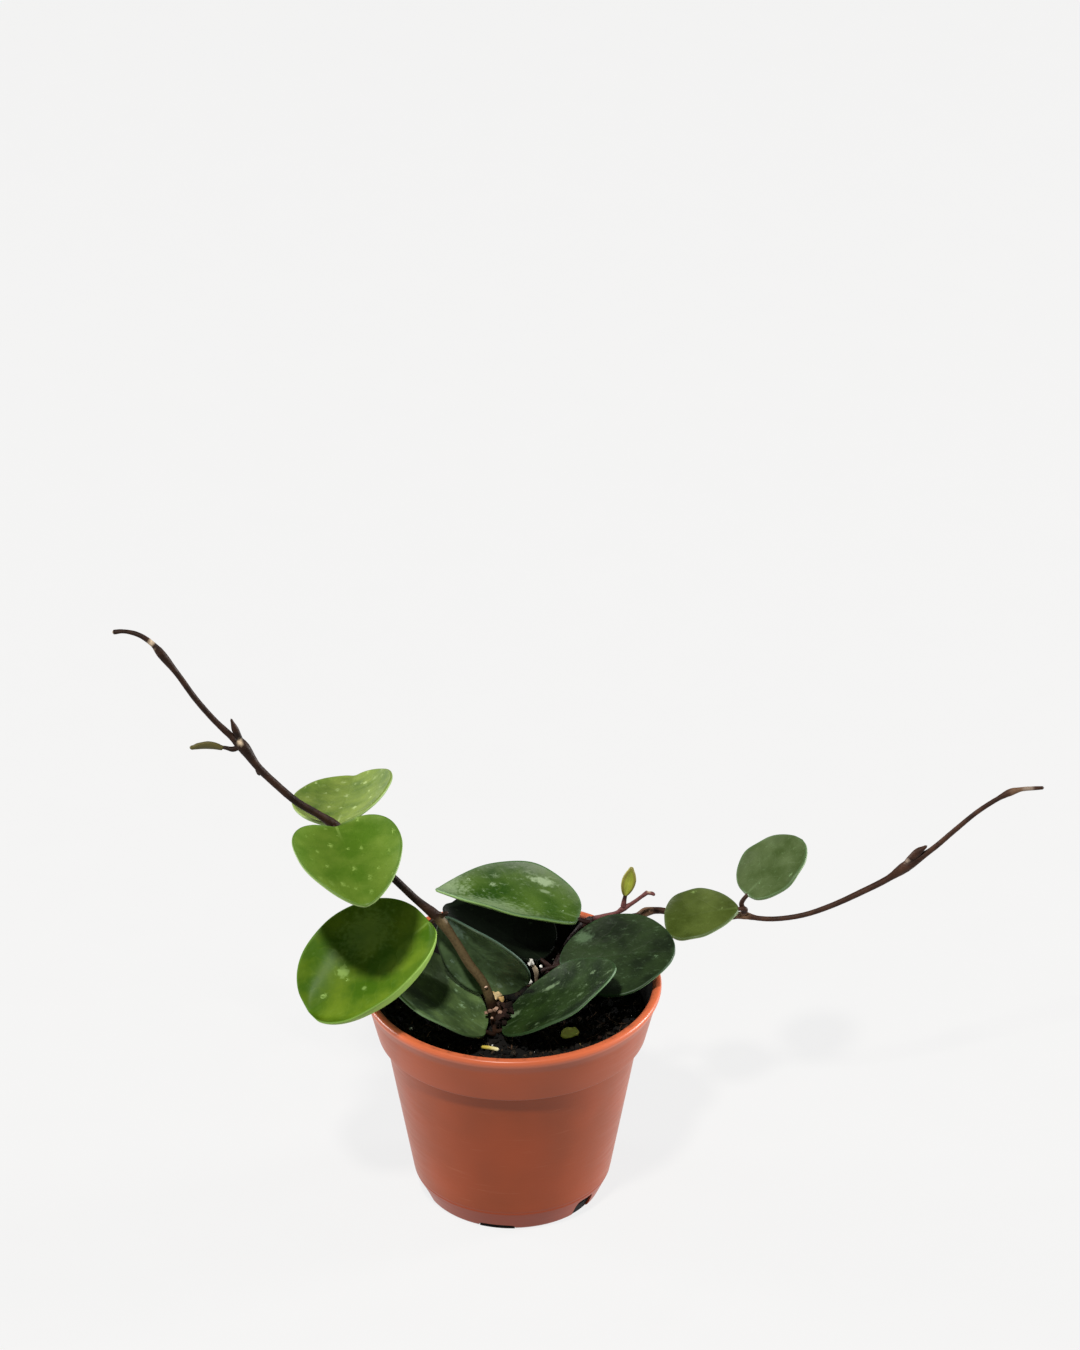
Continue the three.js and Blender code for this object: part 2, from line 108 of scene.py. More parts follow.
class Recipe:
    """One material while it is put together."""

    def __init__(self, name: str) -> None:
        """Start a material that holds only its shader and its output.

        Args:
            name: the material's name, which says what it is.
        """
        self.material = bpy.data.materials.new(name)
        self.material.use_nodes = True
        self.tree = self.material.node_tree
        self.shader = self.tree.nodes["Principled BSDF"]

    def add(
        self, kind: str, *values: Any, output: int | str = 0, stops: tuple = (), **settings: Any
    ) -> Socket:
        """Add a node with its settings and links.

        Args:
            kind: the node's type without its prefix, such as "TexNoise".
            values: what its inputs get, in order, or dicts of that by input name or number.
            output: the name or number of the output that is wanted.
            stops: for a colour ramp, its (position, hex colour) pairs.
            settings: values of the node's own properties.

        Returns:
            The wanted output's socket.
        """
        node = self.tree.nodes.new(f"ShaderNode{kind}")
        for name, value in settings.items():
            setattr(node, name, value)
        for number, value in enumerate(values):
            self.feed(node, value if isinstance(value, dict) else {number: value})
        if stops:
            ramp = node.color_ramp
            while len(ramp.elements) < len(stops):
                ramp.elements.new(1.0)
            for element, (position, colour) in zip(ramp.elements, stops):
                element.position = position
                element.color = linear(colour)
        return node.outputs[output]

    def feed(self, node: bpy.types.Node, inputs: dict) -> None:
        """Link a node's inputs to output sockets, or set them to values.

        Args:
            node: the node.
            inputs: sockets, numbers, vectors or sRGB hex colours by input name or number.
        """
        for name, value in inputs.items():
            if isinstance(value, bpy.types.NodeSocket):
                self.tree.links.new(value, node.inputs[name])
            else:
                node.inputs[name].default_value = linear(value) if isinstance(value, str) else value

    def place(self) -> Socket:
        """The piece's own coordinates in millimetres, as a socket."""
        metres = self.add("TexCoord", output="Object")
        return self.add("VectorMath", metres, {"Scale": 1 / MM}, operation="SCALE")

    def finish(
        self, colour: Socket, roughness: Socket | float, height: Socket, ior: float, specular: float
    ) -> bpy.types.Material:
        """Feed the shader.

        Args:
            colour: the base colour.
            roughness: the roughness.
            height: the relief in millimetres.
            ior: the material's index of refraction.
            specular: the shader's specular level, where 0.5 is neutral.

        Returns:
            The finished material.
        """
        bump = self.add("Bump", {"Strength": 1.0, "Distance": MM, "Height": height})
        self.feed(self.shader, {"Base Color": colour, "Roughness": roughness, "Normal": bump})
        self.feed(self.shader, {"IOR": ior, "Specular IOR Level": specular})
        return self.material


class Shell:
    """Closed surfaces gathered into one mesh, in millimetres, with values kept at their points."""

    def __init__(self) -> None:
        """Start with nothing."""
        self.points: list[np.ndarray] = []
        self.faces: list[np.ndarray] = []
        self.values: dict[str, list[np.ndarray]] = {}
        self.count = 0

    def add(self, points: np.ndarray, triangles: np.ndarray, quads: np.ndarray, **values: np.ndarray) -> None:
        """Add one closed surface, turned so that its faces point outwards.

        Args:
            points: (n, 3) places.
            triangles: (m, 3) point numbers.
            quads: (k, 4) point numbers.
            values: named numbers or vectors, one for each point.
        """
        halves = np.concatenate([triangles, quads[:, [0, 1, 2]], quads[:, [0, 2, 3]]])
        a, b, c = (points[halves[:, i]] for i in range(3))
        if np.einsum("ij,ij->", a, np.cross(b, c)) < 0:
            triangles, quads = triangles[:, ::-1], quads[:, ::-1]
        self.points.append(points)
        self.faces += [triangles + self.count, quads + self.count]
        for name, value in values.items():
            self.values.setdefault(name, []).append(np.asarray(value, float))
        self.count += len(points)

    def add_rings(self, rings: np.ndarray, **values: np.ndarray) -> None:
        """Add a tube of rings, closed at both ends by a point at the middle of the end ring.

        Args:
            rings: (rows, columns, 3) places.
            values: (rows, columns) or (rows, columns, k) numbers.
        """
        rows, columns = rings.shape[:2]
        here = np.arange(columns)
        after = (here + 1) % columns
        start = (np.arange(rows - 1) * columns)[:, None]
        quads = np.stack([start + here, start + after, start + after + columns, start + here + columns], -1)
        first = np.stack([np.full(columns, rows * columns), after, here], -1)
        end = (rows - 1) * columns
        last = np.stack([np.full(columns, rows * columns + 1), end + here, end + after], -1)
        flat = {}
        for name, value in {"points": rings, **values}.items():
            ends = [value[row].mean(0).reshape(1, -1) for row in (0, -1)]
            flat[name] = np.concatenate([value.reshape(rows * columns, -1), *ends])
        points = flat.pop("points")
        self.add(points, np.concatenate([first, last]), quads.reshape(-1, 4), **flat)

    def build(self, name: str, material: bpy.types.Material, sharp: float = 180.0) -> bpy.types.Object:
        """Make the Blender object.

        Args:
            name: the piece's name.
            material: its one material.
            sharp: edges that turn more than this stay sharp.

        Returns:
            The object, at the origin, in metres.
        """
        mesh = bpy.data.meshes.new(name)
        faces = [row for block in self.faces for row in block.tolist()]
        mesh.from_pydata((np.concatenate(self.points) * MM).tolist(), [], faces)
        for label, blocks in self.values.items():
            value = np.concatenate([b.reshape(len(b), -1) for b in blocks])
            kind = "FLOAT" if value.shape[1] == 1 else "FLOAT_VECTOR"
            attribute = mesh.attributes.new(label, kind, "POINT")
            flat = value.astype(np.float32).ravel()
            attribute.data.foreach_set("value" if kind == "FLOAT" else "vector", flat)
        mesh.polygons.foreach_set("use_smooth", np.ones(len(mesh.polygons), bool))
        if sharp < 180:
            mesh.set_sharp_from_angle(angle=np.radians(sharp))
        mesh.materials.append(material)
        mesh.validate()
        mesh.update()
        piece = bpy.data.objects.new(name, mesh)
        bpy.context.scene.collection.objects.link(piece)
        return piece


def hand_over(piece: bpy.types.Object, slot: str, *nodes: str) -> None:
    """Let a piece ride on the plant's body and stand for CAD nodes.

    Args:
        piece: the finished object.
        slot: the name of the material slot, which is only logged.
        nodes: the CAD nodes that it replaces.
    """
    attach(piece, "root")
    if nodes:
        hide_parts(*nodes)
    log.info("%s: %d faces, slot %s, for %s", piece.name, len(piece.data.polygons), slot, nodes or "no node")


# Finishes


@dataclass(frozen=True)
class LeafColours:
    """The sRGB colours of one living blade."""

    deep: str
    light: str
    margin: str
    under: str
    fleck: str
    fleck_share: float = 0.3
    vein: float = 0.15
    speckle: float = 0.1
    sheen: float = 0.36
    rib: float = 0.15
    dulled: float = 0.0
    # Pale patches of its own: across and along the blade, half width, half length, strength. Some are painted
    # highlights, sheen or light.
    patches: tuple[tuple[float, float, float, float, float], ...] = ()


class LeafTone(Enum):
    """The tones that the blades of this plant have, by age and by how much light they get."""

    GREY_GREEN = LeafColours(
        "#4d6622", "#76893c", "#6f8240", "#7f9656", "#b4c788", 0.55, speckle=0.14, rib=0.4
    )
    BRIGHT = LeafColours("#43630f", "#597320", "#4f6c28", "#7c9452", "#88a450", 0.55, speckle=0.08, rib=0.4)
    # On leaf_cupped the first two patches are a painted highlight, and the third painted light in the shadow
    # of leaf_upper_front.
    CUPPED = LeafColours(
        "#355401", "#566d13", "#4c6e1a", "#7c9a48", "#a4c470", 0.03, speckle=0.06, sheen=0.12, dulled=0.14,
        patches=((-2.8, 19.6, 1.5, 1.7, 0.36), (3.1, 18.2, 0.8, 0.8, 0.3), (-6.5, 11.5, 6.0, 8.0, 0.16)),
    )
    # On leaf_top the first two patches are a painted highlight, and the last two painted sheen over its tip
    # and its near half.
    TOP = LeafColours(
        "#224006", "#405a1a", "#4c6844", "#6c8a4a", "#9cb08c", 0.26, 0.3, speckle=0.28,
        patches=(
            (-6.6, 9.3, 1.1, 3.4, 0.66), (-4.4, 8.2, 0.5, 1.6, 0.4), (0.0, 28.5, 6.0, 7.0, 0.45),
            (6.0, 19.0, 6.0, 16.0, 0.35),
        ),
    )
    # A lighter copy of DARK for leaf_low_left: painted light that lifts the shadow of leaf_cupped on it.
    SAGE = LeafColours("#2b3c22", "#4f6438", "#3c522c", "#5c7850", "#84a07c", 0.34, speckle=0.5)
    DARK = LeafColours(
        "#0f1e07", "#223612", "#2a4224", "#52704a", "#788f6c", 0.13, speckle=0.38,
        patches=((4.6, 12.4, 0.7, 2.4, 0.6), (2.3, 3.2, 1.0, 2.0, 0.5)),
    )
    DUSK = LeafColours(
        "#0d1a06", "#1e3010", "#243c20", "#4a6844", "#6f8c68", 0.07, speckle=0.2,
        patches=((5.6, 5.5, 1.9, 2.4, 0.35),),
    )
    # leaf_hanging hangs in shade: its greens are painted lighter, painted light, and its margin darker,
    # painted shade over the light that its edge catches.
    SHADE_PAINTED_LIGHTER = LeafColours(
        "#304027", "#546b47", "#172215", "#344a3c", "#7c9484", 0.28, speckle=0.3,
        patches=((0.2, 3.0, 3.4, 4.2, 0.4),),
    )
    # Nearly black: painted shade for leaf_shaded, which lies in the shadow of leaf_top.
    DEEP_SHADE = LeafColours(
        "#060a05", "#0d140b", "#090d08", "#141a12", "#2c3626", 0.15, speckle=0.15, sheen=0.04
    )
    OLIVE = LeafColours("#35420e", "#48561e", "#4a5a34", "#74885a", "#7c9454", 0.2, speckle=0.15)
    BLUE_GREEN = LeafColours("#314218", "#475730", "#4c6440", "#6c8258", "#7a9668", 0.24, speckle=0.2)
    YOUNG = LeafColours("#2e3010", "#545a24", "#2e1c10", "#4c4620", "#a8a85a", 0.1)
    NEW_SHOOT = LeafColours("#6b7424", "#a2aa3c", "#6a5a2c", "#8c8c44", "#b8bc6a", 0.1)


@dataclass(frozen=True)
class WaxyBlade:
    """Hoya leaf: a thick hairless blade under a layer of wax, so it is satin with a soft white gloss.

    The green is mottled over several millimetres, with pale silvery flecks about a millimetre across,
    faint side veins, a paler midrib near the stalk, a thin paler margin and a matt paler underside.
    """

    tone: LeafTone
    roughness: float = 0.46
    under_roughness: float = 0.62
    mottle_size: float = 6.0
    swell_size: float = 2.6
    skin_size: float = 0.45
    skin_depth: float = 0.016
    groove_depth: float = 0.02
    fleck_spacing: float = 2.6
    fleck_radius: float = 0.56
    vein_spacing: float = 3.6
    vein_slope: float = 0.85
    vein_wander: float = 5.0
    # Where the midrib's pale line ends at its side and along it, and where the margin's does.
    rib_edge: tuple[float, float] = (0.08, 0.42)
    rib_fades: tuple[float, float] = (0.5, 6.0)
    margin_band: tuple[float, float] = (0.1, 0.7)
    unevenness: float = 0.09

    def material(self) -> bpy.types.Material:
        """Build the material from the blade's own (across, along, margin) millimetres.

        Returns:
            The finished material.
        """
        look = self.tone.value
        r = Recipe(f"waxy_hoya_leaf_{self.tone.name.lower()}")
        place = r.place()
        blade = r.add("Attribute", attribute_name="blade", output="Vector")
        upper = r.add("Attribute", attribute_name="upper", output="Fac")
        across, along, margin = r.add("SeparateXYZ", blade).node.outputs
        side = r.add("Math", across, operation="ABSOLUTE")

        mottle = r.add("TexNoise", {"Vector": place, "Scale": 1 / self.mottle_size, "Detail": 3.0})
        mottled = r.add("MapRange", mottle, 0.36, 0.64)
        green = r.add("Mix", mottled, {6: look.deep, 7: look.light}, **COLOURS)

        # Side veins leave the midrib at about 45 degrees and wander by a millimetre or so.
        wander = r.add("TexNoise", {"Vector": blade, "Scale": 0.22})
        slant = r.add("Math", side, -self.vein_slope, along, operation="MULTIPLY_ADD")
        slant = r.add("Math", wander, self.vein_wander, slant, operation="MULTIPLY_ADD")
        turn = r.add("Math", slant, self.vein_spacing / 2, operation="PINGPONG")
        vein = r.add("MapRange", turn, 0.0, 0.4, 1.0, 0.0, **EASE)
        inland = r.add("MapRange", margin, 0.8, 3.5, **EASE)
        vein = r.add("Math", vein, inland, operation="MULTIPLY")
        tint = r.add("Math", vein, look.vein, operation="MULTIPLY")
        green = r.add("Mix", tint, {6: green, 7: look.light}, **COLOURS)

        # The midrib is a shallow crease, pale only for the first six millimetres of the blade.
        rib = r.add("MapRange", side, *self.rib_edge, 1.0, 0.0, **EASE)
        fade = r.add("MapRange", along, *self.rib_fades, look.rib, 0.0, **EASE)
        pale = r.add("Math", rib, fade, operation="MULTIPLY")
        green = r.add("Mix", pale, {6: green, 7: look.fleck}, **COLOURS)

        # Fine pale speckle, drawn out along the blade: blotches about 1 by 2 mm.
        drawn = r.add("Mapping", {"Vector": blade, "Scale": (1.1, 0.5, 0.0)}, vector_type="POINT")
        dust = r.add("TexNoise", {"Vector": drawn, "Scale": 1.0, "Detail": 4.0, "Roughness": 0.7})
        dust = r.add("MapRange", dust, 0.54, 0.74, 0.0, look.speckle, **EASE)
        green = r.add("Mix", dust, {6: green, 7: look.fleck}, **COLOURS)

        spot = self.flecks(r, blade, self.fleck_spacing, self.fleck_radius, look.fleck_share)
        # Patches: on some blades these are painted highlights, painted sheen or painted light.
        for patch in look.patches:
            spot = r.add("Math", spot, self.patch(r, blade, *patch), operation="MAXIMUM")
        green = r.add("Mix", spot, {6: green, 7: look.fleck}, **COLOURS)

        edge = r.add("MapRange", margin, *self.margin_band, 0.7, 0.0, **EASE)
        green = r.add("Mix", edge, {6: green, 7: look.margin}, **COLOURS)
        green = r.add("Mix", upper, {6: look.under, 7: green}, **COLOURS)

        dull = self.roughness + look.dulled
        gloss = r.add("MapRange", mottle, 0.3, 0.7, dull - 0.05, dull + 0.1)
        rough = r.add("Mix", upper, {2: self.under_roughness, 3: gloss})

        swell = r.add("TexNoise", {"Vector": place, "Scale": 1 / self.swell_size})
        skin = r.add("TexNoise", {"Vector": place, "Scale": 1 / self.skin_size})
        height = r.add("Math", swell, self.unevenness * 2, operation="MULTIPLY")
        height = r.add("Math", skin, self.skin_depth, height, operation="MULTIPLY_ADD")
        for groove in (vein, rib):
            height = r.add("Math", groove, -self.groove_depth, height, operation="MULTIPLY_ADD")
        r.feed(r.shader, {"Coat Weight": 0.04, "Coat Roughness": 0.3, "Coat IOR": 1.4})
        return r.finish(green, rough, height, ior=1.42, specular=look.sheen)

    @staticmethod
    def flecks(r: Recipe, blade: Socket, spacing: float, radius: float, share: float) -> Socket:
        """One fleck in a share of the cells of a grid of cells, drawn out along the blade and broken up.

        Args:
            r: the material's recipe.
            blade: the blade's own millimetres.
            spacing: millimetres from one cell to the next.
            radius: the largest fleck's radius.
            share: the share of cells that hold a fleck.

        Returns:
            How much of the fleck's colour shows.
        """
        rag = {"Vector": blade, "Scale": 1.2 / radius, "Detail": 3.0}
        ragged = r.add("TexNoise", rag, output="Color")
        bend = (3.2 * radius, 3.2 * radius, 0.0)
        bent = r.add("VectorMath", ragged, bend, blade, operation="MULTIPLY_ADD")
        flat = r.add("Mapping", {"Vector": bent, "Scale": (1.0, 0.66, 0.0)}, vector_type="POINT")
        cells = r.add("TexVoronoi", {"Vector": flat, "Scale": 1 / spacing}, voronoi_dimensions="2D").node
        chance = r.add("SeparateColor", cells.outputs["Color"]).node.outputs
        chosen = r.add("Math", chance[0], share, operation="LESS_THAN")
        size = r.add("MapRange", chance[1], 0.0, 1.0, 0.3 * radius / spacing, 1.15 * radius / spacing)
        near = r.add("Math", cells.outputs["Distance"], size, operation="DIVIDE")
        spot = r.add("MapRange", near, 0.3, 1.15, 1.0, 0.0, **EASE)
        broken = r.add("MapRange", ragged.node.outputs["Fac"], 0.34, 0.54, 0.2, 1.0, **EASE)
        strength = r.add("MapRange", chance[2], 0.0, 1.0, 0.2, 0.8)
        for part in (chosen, broken, strength):
            spot = r.add("Math", spot, part, operation="MULTIPLY")
        return spot

    @staticmethod
    def patch(
        r: Recipe, blade: Socket, across: float, along: float, wide: float, long: float, strength: float
    ) -> Socket:
        """One pale patch at its own place on the blade, its rim ragged; some are silvery flecks, others
        painted highlights, sheen or light.

        Args:
            r: the material's recipe.
            blade: the blade's own millimetres.
            across: millimetres from the midrib.
            along: millimetres from the stalk.
            wide: half width.
            long: half length.
            strength: how much of its colour shows in its middle.

        Returns:
            How much of the patch's colour shows.
        """
        away = r.add("VectorMath", blade, (across, along, 0), operation="SUBTRACT")
        away = r.add("VectorMath", away, (1 / wide, 1 / long, 0), operation="MULTIPLY")
        far = r.add("VectorMath", away, operation="LENGTH", output="Value")
        wander = r.add("TexNoise", {"Vector": blade, "Scale": 1.1, "Detail": 4.0})
        far = r.add("Math", wander, 1.6, far, operation="MULTIPLY_ADD")
        return r.add("MapRange", far, 1.1, 1.8, strength, 0.0, **EASE)


@dataclass(frozen=True)
class YoungBark:
    """Skin of a trailing stem: thin brown bark, matt, finely wrinkled, with pale corky rings."""

    name: str
    dark: str
    mid: str
    light: str
    pale: str = "#b9a58c"
    grain: float = 0.55
    patch_size: float = 2.2
    wrinkle_depth: float = 0.12

    def material(self) -> bpy.types.Material:
        """Build the material; the stem's "light" value says where it is painted lighter, as painted light,
        and its "pale" value where it has pale cork.

        Returns:
            The finished material.
        """
        r = Recipe(f"young_bark_{self.name}")
        place = r.place()
        fine = r.add("TexNoise", {"Vector": place, "Scale": 1 / self.grain, "Detail": 3.0})
        patch = r.add("TexNoise", {"Vector": place, "Scale": 1 / self.patch_size, "Detail": 3.0})
        patch = r.add("MapRange", patch, 0.35, 0.65)
        bark = r.add("Mix", patch, {6: self.dark, 7: self.mid}, **COLOURS)
        worn = r.add("MapRange", fine, 0.4, 0.6, 0.75, 1.15)
        # Painted light where the stem's "light" value is high, pale cork where its "pale" value is.
        for value, colour in (("light", self.light), ("pale", self.pale)):
            share = r.add("Attribute", attribute_name=value, output="Fac")
            share = r.add("Math", share, worn, operation="MULTIPLY", use_clamp=True)
            bark = r.add("Mix", share, {6: bark, 7: colour}, **COLOURS)
        rough = r.add("MapRange", fine, 0.3, 0.7, 0.48, 0.68)
        height = r.add("Math", fine, self.wrinkle_depth, operation="MULTIPLY")
        return r.finish(bark, rough, height, ior=1.5, specular=0.15)


@dataclass(frozen=True)
class MouldedPolypropylene:
    """Terracotta-coloured polypropylene, injection moulded: satin, with a faint flow mottle.

    A few rub marks run round the pot. The lip is painted brighter, a painted highlight, and the foot
    is a deeper orange. The inner wall is painted dark almost up to the lip: painted shade.
    """

    body: str = "#8e3a0e"
    deep: str = "#83360a"
    # Brighter orange of the lip: a painted highlight.
    lip: str = "#b65b39"
    foot: str = "#842800"
    dust: str = "#b87c62"
    # Near-black brown of the painted shade on the inner wall and in the openings.
    peat: str = "#0d0806"
    roughness: float = 0.34
    # The outer face of the collar lies where radius - lean * height is about 17.7, the inner at 16.9.
    lean: float = 0.25
    inner_face: float = 17.3
    # In the same way the foot's outer face lies at 17.5, and what is further in is seen in the openings.
    foot_lean: float = 0.486
    foot_face: float = 17.15
    # Heights between which one tone turns into the next, from the foot up.
    foot_band_ends: tuple[float, float] = (4.0, 6.6)
    collar_starts: tuple[float, float] = (37.0, 37.6)
    lip_starts: tuple[float, float] = (46.1, 46.9)
    # The inner wall is painted dark, painted shade, from this height up to a wandering line.
    inner_shade_starts: float = 37.9
    shade_line_ends: tuple[float, float] = (48.1, 49.5)
    shade_line_wander: float = 2.4
    shade_line_size: float = 1.8
    # The mould's slow waves, the plastic's fine grit, and noise drawn out sideways into rub marks.
    flow_size: float = 14.0
    flow_depth: float = 0.12
    grit_size: float = 0.5
    grit_depth: float = 0.008
    rub_stretch: Point = (0.12, 0.12, 1.4)
    # The middle and the half height of the band that the drain openings cut.
    openings_band: tuple[float, float] = (2.4, 1.95)

    def material(self) -> bpy.types.Material:
        """Build the material in the pot's own millimetres.

        Returns:
            The finished material.
        """
        r = Recipe("moulded_terracotta_polypropylene")
        place = r.place()
        flow = r.add("TexNoise", {"Vector": place, "Scale": 1 / self.flow_size})
        grit = r.add("TexNoise", {"Vector": place, "Scale": 1 / self.grit_size})
        mottled = r.add("MapRange", flow, 0.35, 0.65)
        clay = r.add("Mix", mottled, {6: self.deep, 7: self.body}, **COLOURS)
        # Rub marks run round the pot: noise drawn out sideways by a factor of twelve.
        drawn = r.add("Mapping", {"Vector": place, "Scale": self.rub_stretch}, vector_type="POINT")
        rub = r.add("TexNoise", {"Vector": drawn, "Scale": 1.0, "Detail": 4.0})
        dusty = r.add("MapRange", rub, 0.6, 0.8, 0.0, 0.12, **EASE)
        clay = r.add("Mix", dusty, {6: clay, 7: self.dust}, **COLOURS)

        # The lip is painted brighter, a painted highlight. The collar is mixed a little towards that orange,
        # painted light that lifts the shade under the lip, and the foot turns a deeper orange.
        x, y, z = r.add("SeparateXYZ", place).node.outputs
        for band, start, end, colour in (
            (self.lip_starts, 0.0, 1.0, self.lip), (self.foot_band_ends, 0.7, 0.0, self.foot),
            (self.collar_starts, 0.0, 0.18, self.lip),
        ):
            share = r.add("MapRange", z, *band, start, end, **EASE)
            clay = r.add("Mix", share, {6: clay, 7: colour}, **COLOURS)

        # Painted shade darkens the inner wall up to a wandering line, and what shows through the openings.
        level = r.add("CombineXYZ", x, y)
        radius = r.add("VectorMath", level, operation="LENGTH", output="Value")
        inner = r.add("Math", z, -self.lean, radius, operation="MULTIPLY_ADD")
        inner = r.add("Math", inner, self.inner_face, operation="LESS_THAN")
        above = r.add("Math", z, self.inner_shade_starts, operation="GREATER_THAN")
        shade_line = r.add("TexNoise", {"Vector": place, "Scale": 1 / self.shade_line_size, "Detail": 3.0})
        shade_line = r.add("Math", shade_line, self.shade_line_wander, z, operation="MULTIPLY_ADD")
        shade_line = r.add("MapRange", shade_line, *self.shade_line_ends, 1.0, 0.0, **EASE)
        painted_shade = r.add("Math", inner, above, operation="MULTIPLY")
        painted_shade = r.add("Math", painted_shade, shade_line, operation="MULTIPLY")
        within = r.add("Math", z, -self.foot_lean, radius, operation="MULTIPLY_ADD")
        within = r.add("Math", within, self.foot_face, operation="LESS_THAN")
        opening = r.add("Math", z, *self.openings_band, operation="COMPARE")
        within = r.add("Math", within, opening, operation="MULTIPLY")
        painted_shade = r.add("Math", painted_shade, within, operation="MAXIMUM")
        clay = r.add("Mix", painted_shade, {6: clay, 7: self.peat}, **COLOURS)

        gloss = r.add("MapRange", rub, 0.3, 0.7, self.roughness - 0.03, self.roughness + 0.06)
        rough = r.add("Mix", painted_shade, {2: gloss, 3: 0.9})
        height = r.add("Math", grit, self.grit_depth, operation="MULTIPLY")
        height = r.add("Math", flow, self.flow_depth, height, operation="MULTIPLY_ADD")
        return r.finish(clay, rough, height, ior=1.5, specular=0.3)


@dataclass(frozen=True)
class LooseMatter:
    """Crumbly or porous matter, dull all over: each grain has its own tone, and its face is pitted."""

    name: str
    tones: tuple[str, ...]
    pit: float = 0.35
    mottle: float = 0.4
    depth: float = 0.12
    roughness: float = 0.92
    specular: float = 0.22

    def material(self) -> bpy.types.Material:
        """Build the material; the "grain" value, from 0 to 1, picks each grain's tone.

        Returns:
            The finished material.
        """
        r = Recipe(self.name)
        grain = r.add("Attribute", attribute_name="grain", output="Fac")
        pits = r.add("TexNoise", {"Vector": r.place(), "Scale": 1 / self.pit, "Detail": 3.0})
        shift = r.add("Math", pits, self.mottle, grain, operation="MULTIPLY_ADD")
        shift = r.add("Math", shift, self.mottle / 2, operation="SUBTRACT", use_clamp=True)
        last = len(self.tones) - 1
        stops = tuple((i / last, tone) for i, tone in enumerate(self.tones))
        colour = r.add("ValToRGB", shift, stops=stops)
        height = r.add("Math", pits, self.depth, operation="MULTIPLY")
        return r.finish(colour, self.roughness, height, ior=1.5, specular=self.specular)


# The camera and the studio


@dataclass
class PhotoCamera:
    """The camera at the photograph's viewing angle: a long lens that looks down on the plant."""

    place: Point = (5.6, -1263.307, 858.579)
    look_down: float = 30.35
    lens: float = 200.0
    sensor: float = 36.0
    width: int = 1080
    height: int = 1350

    def build(self) -> None:
        """Create the camera and make it the scene's."""
        data = bpy.data.cameras.new("photo_camera")
        data.lens = self.lens
        data.sensor_width = self.sensor
        data.clip_start, data.clip_end = 0.05, 20.0
        camera = bpy.data.objects.new("photo_camera", data)
        camera.location = np.array(self.place) * MM
        camera.rotation_euler = (np.radians(90 - self.look_down), 0, 0)
        bpy.context.scene.collection.objects.link(camera)
        bpy.context.scene.camera = camera
        log.info("photo_camera: lens %.0f, looking %.2f degrees down", self.lens, self.look_down)

    def on_level(self, pixels: np.ndarray, level: np.ndarray | float) -> np.ndarray:
        """Where the sight lines of pixels meet level planes.

        Args:
            pixels: (n, 2) pixels of the 1080 x 1350 photograph.
            level: the planes' heights.

        Returns:
            (n, 2) places x, y.
        """
        down = np.radians(self.look_down)
        focal = self.lens / self.sensor * self.height
        right = (pixels[:, 0] - self.width / 2) / focal
        rise = -(pixels[:, 1] - self.height / 2) / focal
        forward = np.cos(down) + rise * np.sin(down)
        drop = -np.sin(down) + rise * np.cos(down)
        reach = (level - self.place[2]) / drop
        return np.stack([self.place[0] + right * reach, self.place[1] + forward * reach], -1)


@dataclass(frozen=True)
class Softbox:
    """One round soft light: where it hangs, how wide it is, its watts, its colour and where it aims."""

    name: str
    place: Point
    size: float
    power: float
    colour: str = "#ffffff"
    aim: Point = (0.0, 0.0, 50.0)

    def build(self) -> None:
        """Hang the light and aim it at the plant."""
        data = bpy.data.lights.new(self.name, "AREA")
        data.shape = "DISK"
        data.size = self.size * MM
        data.energy = self.power
        data.color = linear(self.colour)[:3]
        lamp = bpy.data.objects.new(self.name, data)
        lamp.location = np.array(self.place) * MM
        aim = np.array(self.aim) - np.array(self.place)
        lamp.rotation_euler = (np.arctan2(np.hypot(aim[0], aim[1]), -aim[2]), 0, np.arctan2(-aim[0], aim[1]))
        bpy.context.scene.collection.objects.link(lamp)


@dataclass
class Studio:
    """A white floor that glows by itself, painted light that keeps shadows on it faint, under soft lights."""

    floor_half: float = 6000.0
    floor_colour: str = "#3e3d3c"
    floor_grain: str = "#424140"
    # The floor's own glow, which is no lamp: painted light.
    floor_glow: str = "#f4f4f4"
    floor_glow_strength: float = 0.915
    surround: str = "#fdfcfa"
    surround_strength: float = 0.12
    lights: tuple[Softbox, ...] = (
        Softbox("key_softbox", (-260.0, -920.0, 1760.0), 180.0, 48.0, "#fffcf6"),
        Softbox("left_softbox", (-1250.0, 380.0, 230.0), 420.0, 17.0),
        Softbox("right_softbox", (1250.0, 380.0, 230.0), 420.0, 26.0),
    )

    def build(self) -> None:
        """Make the floor, the lights and the surround."""
        recipe = Recipe("glowing_white_floor")
        grain = recipe.add("TexNoise", {"Scale": 900.0, "Detail": 2.0})
        stops = ((0.0, self.floor_colour), (1.0, self.floor_grain))
        colour = recipe.add("ValToRGB", grain, stops=stops)
        recipe.feed(recipe.shader, {"Base Color": colour, "Roughness": 0.95, "Specular IOR Level": 0.1})
        glow = {"Emission Color": self.floor_glow, "Emission Strength": self.floor_glow_strength}
        recipe.feed(recipe.shader, glow)
        half = self.floor_half * MM
        mesh = bpy.data.meshes.new("floor")
        corners = [(-half, -half, 0), (half, -half, 0), (half, half, 0), (-half, half, 0)]
        mesh.from_pydata(corners, [], [(0, 1, 2, 3)])
        mesh.materials.append(recipe.material)
        floor = bpy.data.objects.new("floor", mesh)
        bpy.context.scene.collection.objects.link(floor)

        world = bpy.data.worlds.new("pale_surround")
        bpy.context.scene.world = world
        world.use_nodes = True
        sky = world.node_tree.nodes["Background"]
        sky.inputs["Color"].default_value = linear(self.surround)
        sky.inputs["Strength"].default_value = self.surround_strength
        for light in self.lights:
            light.build()
        bpy.context.scene.view_settings.view_transform = "Standard"
        log.info("studio: floor, %d soft lights and a pale surround", len(self.lights))


# The pot


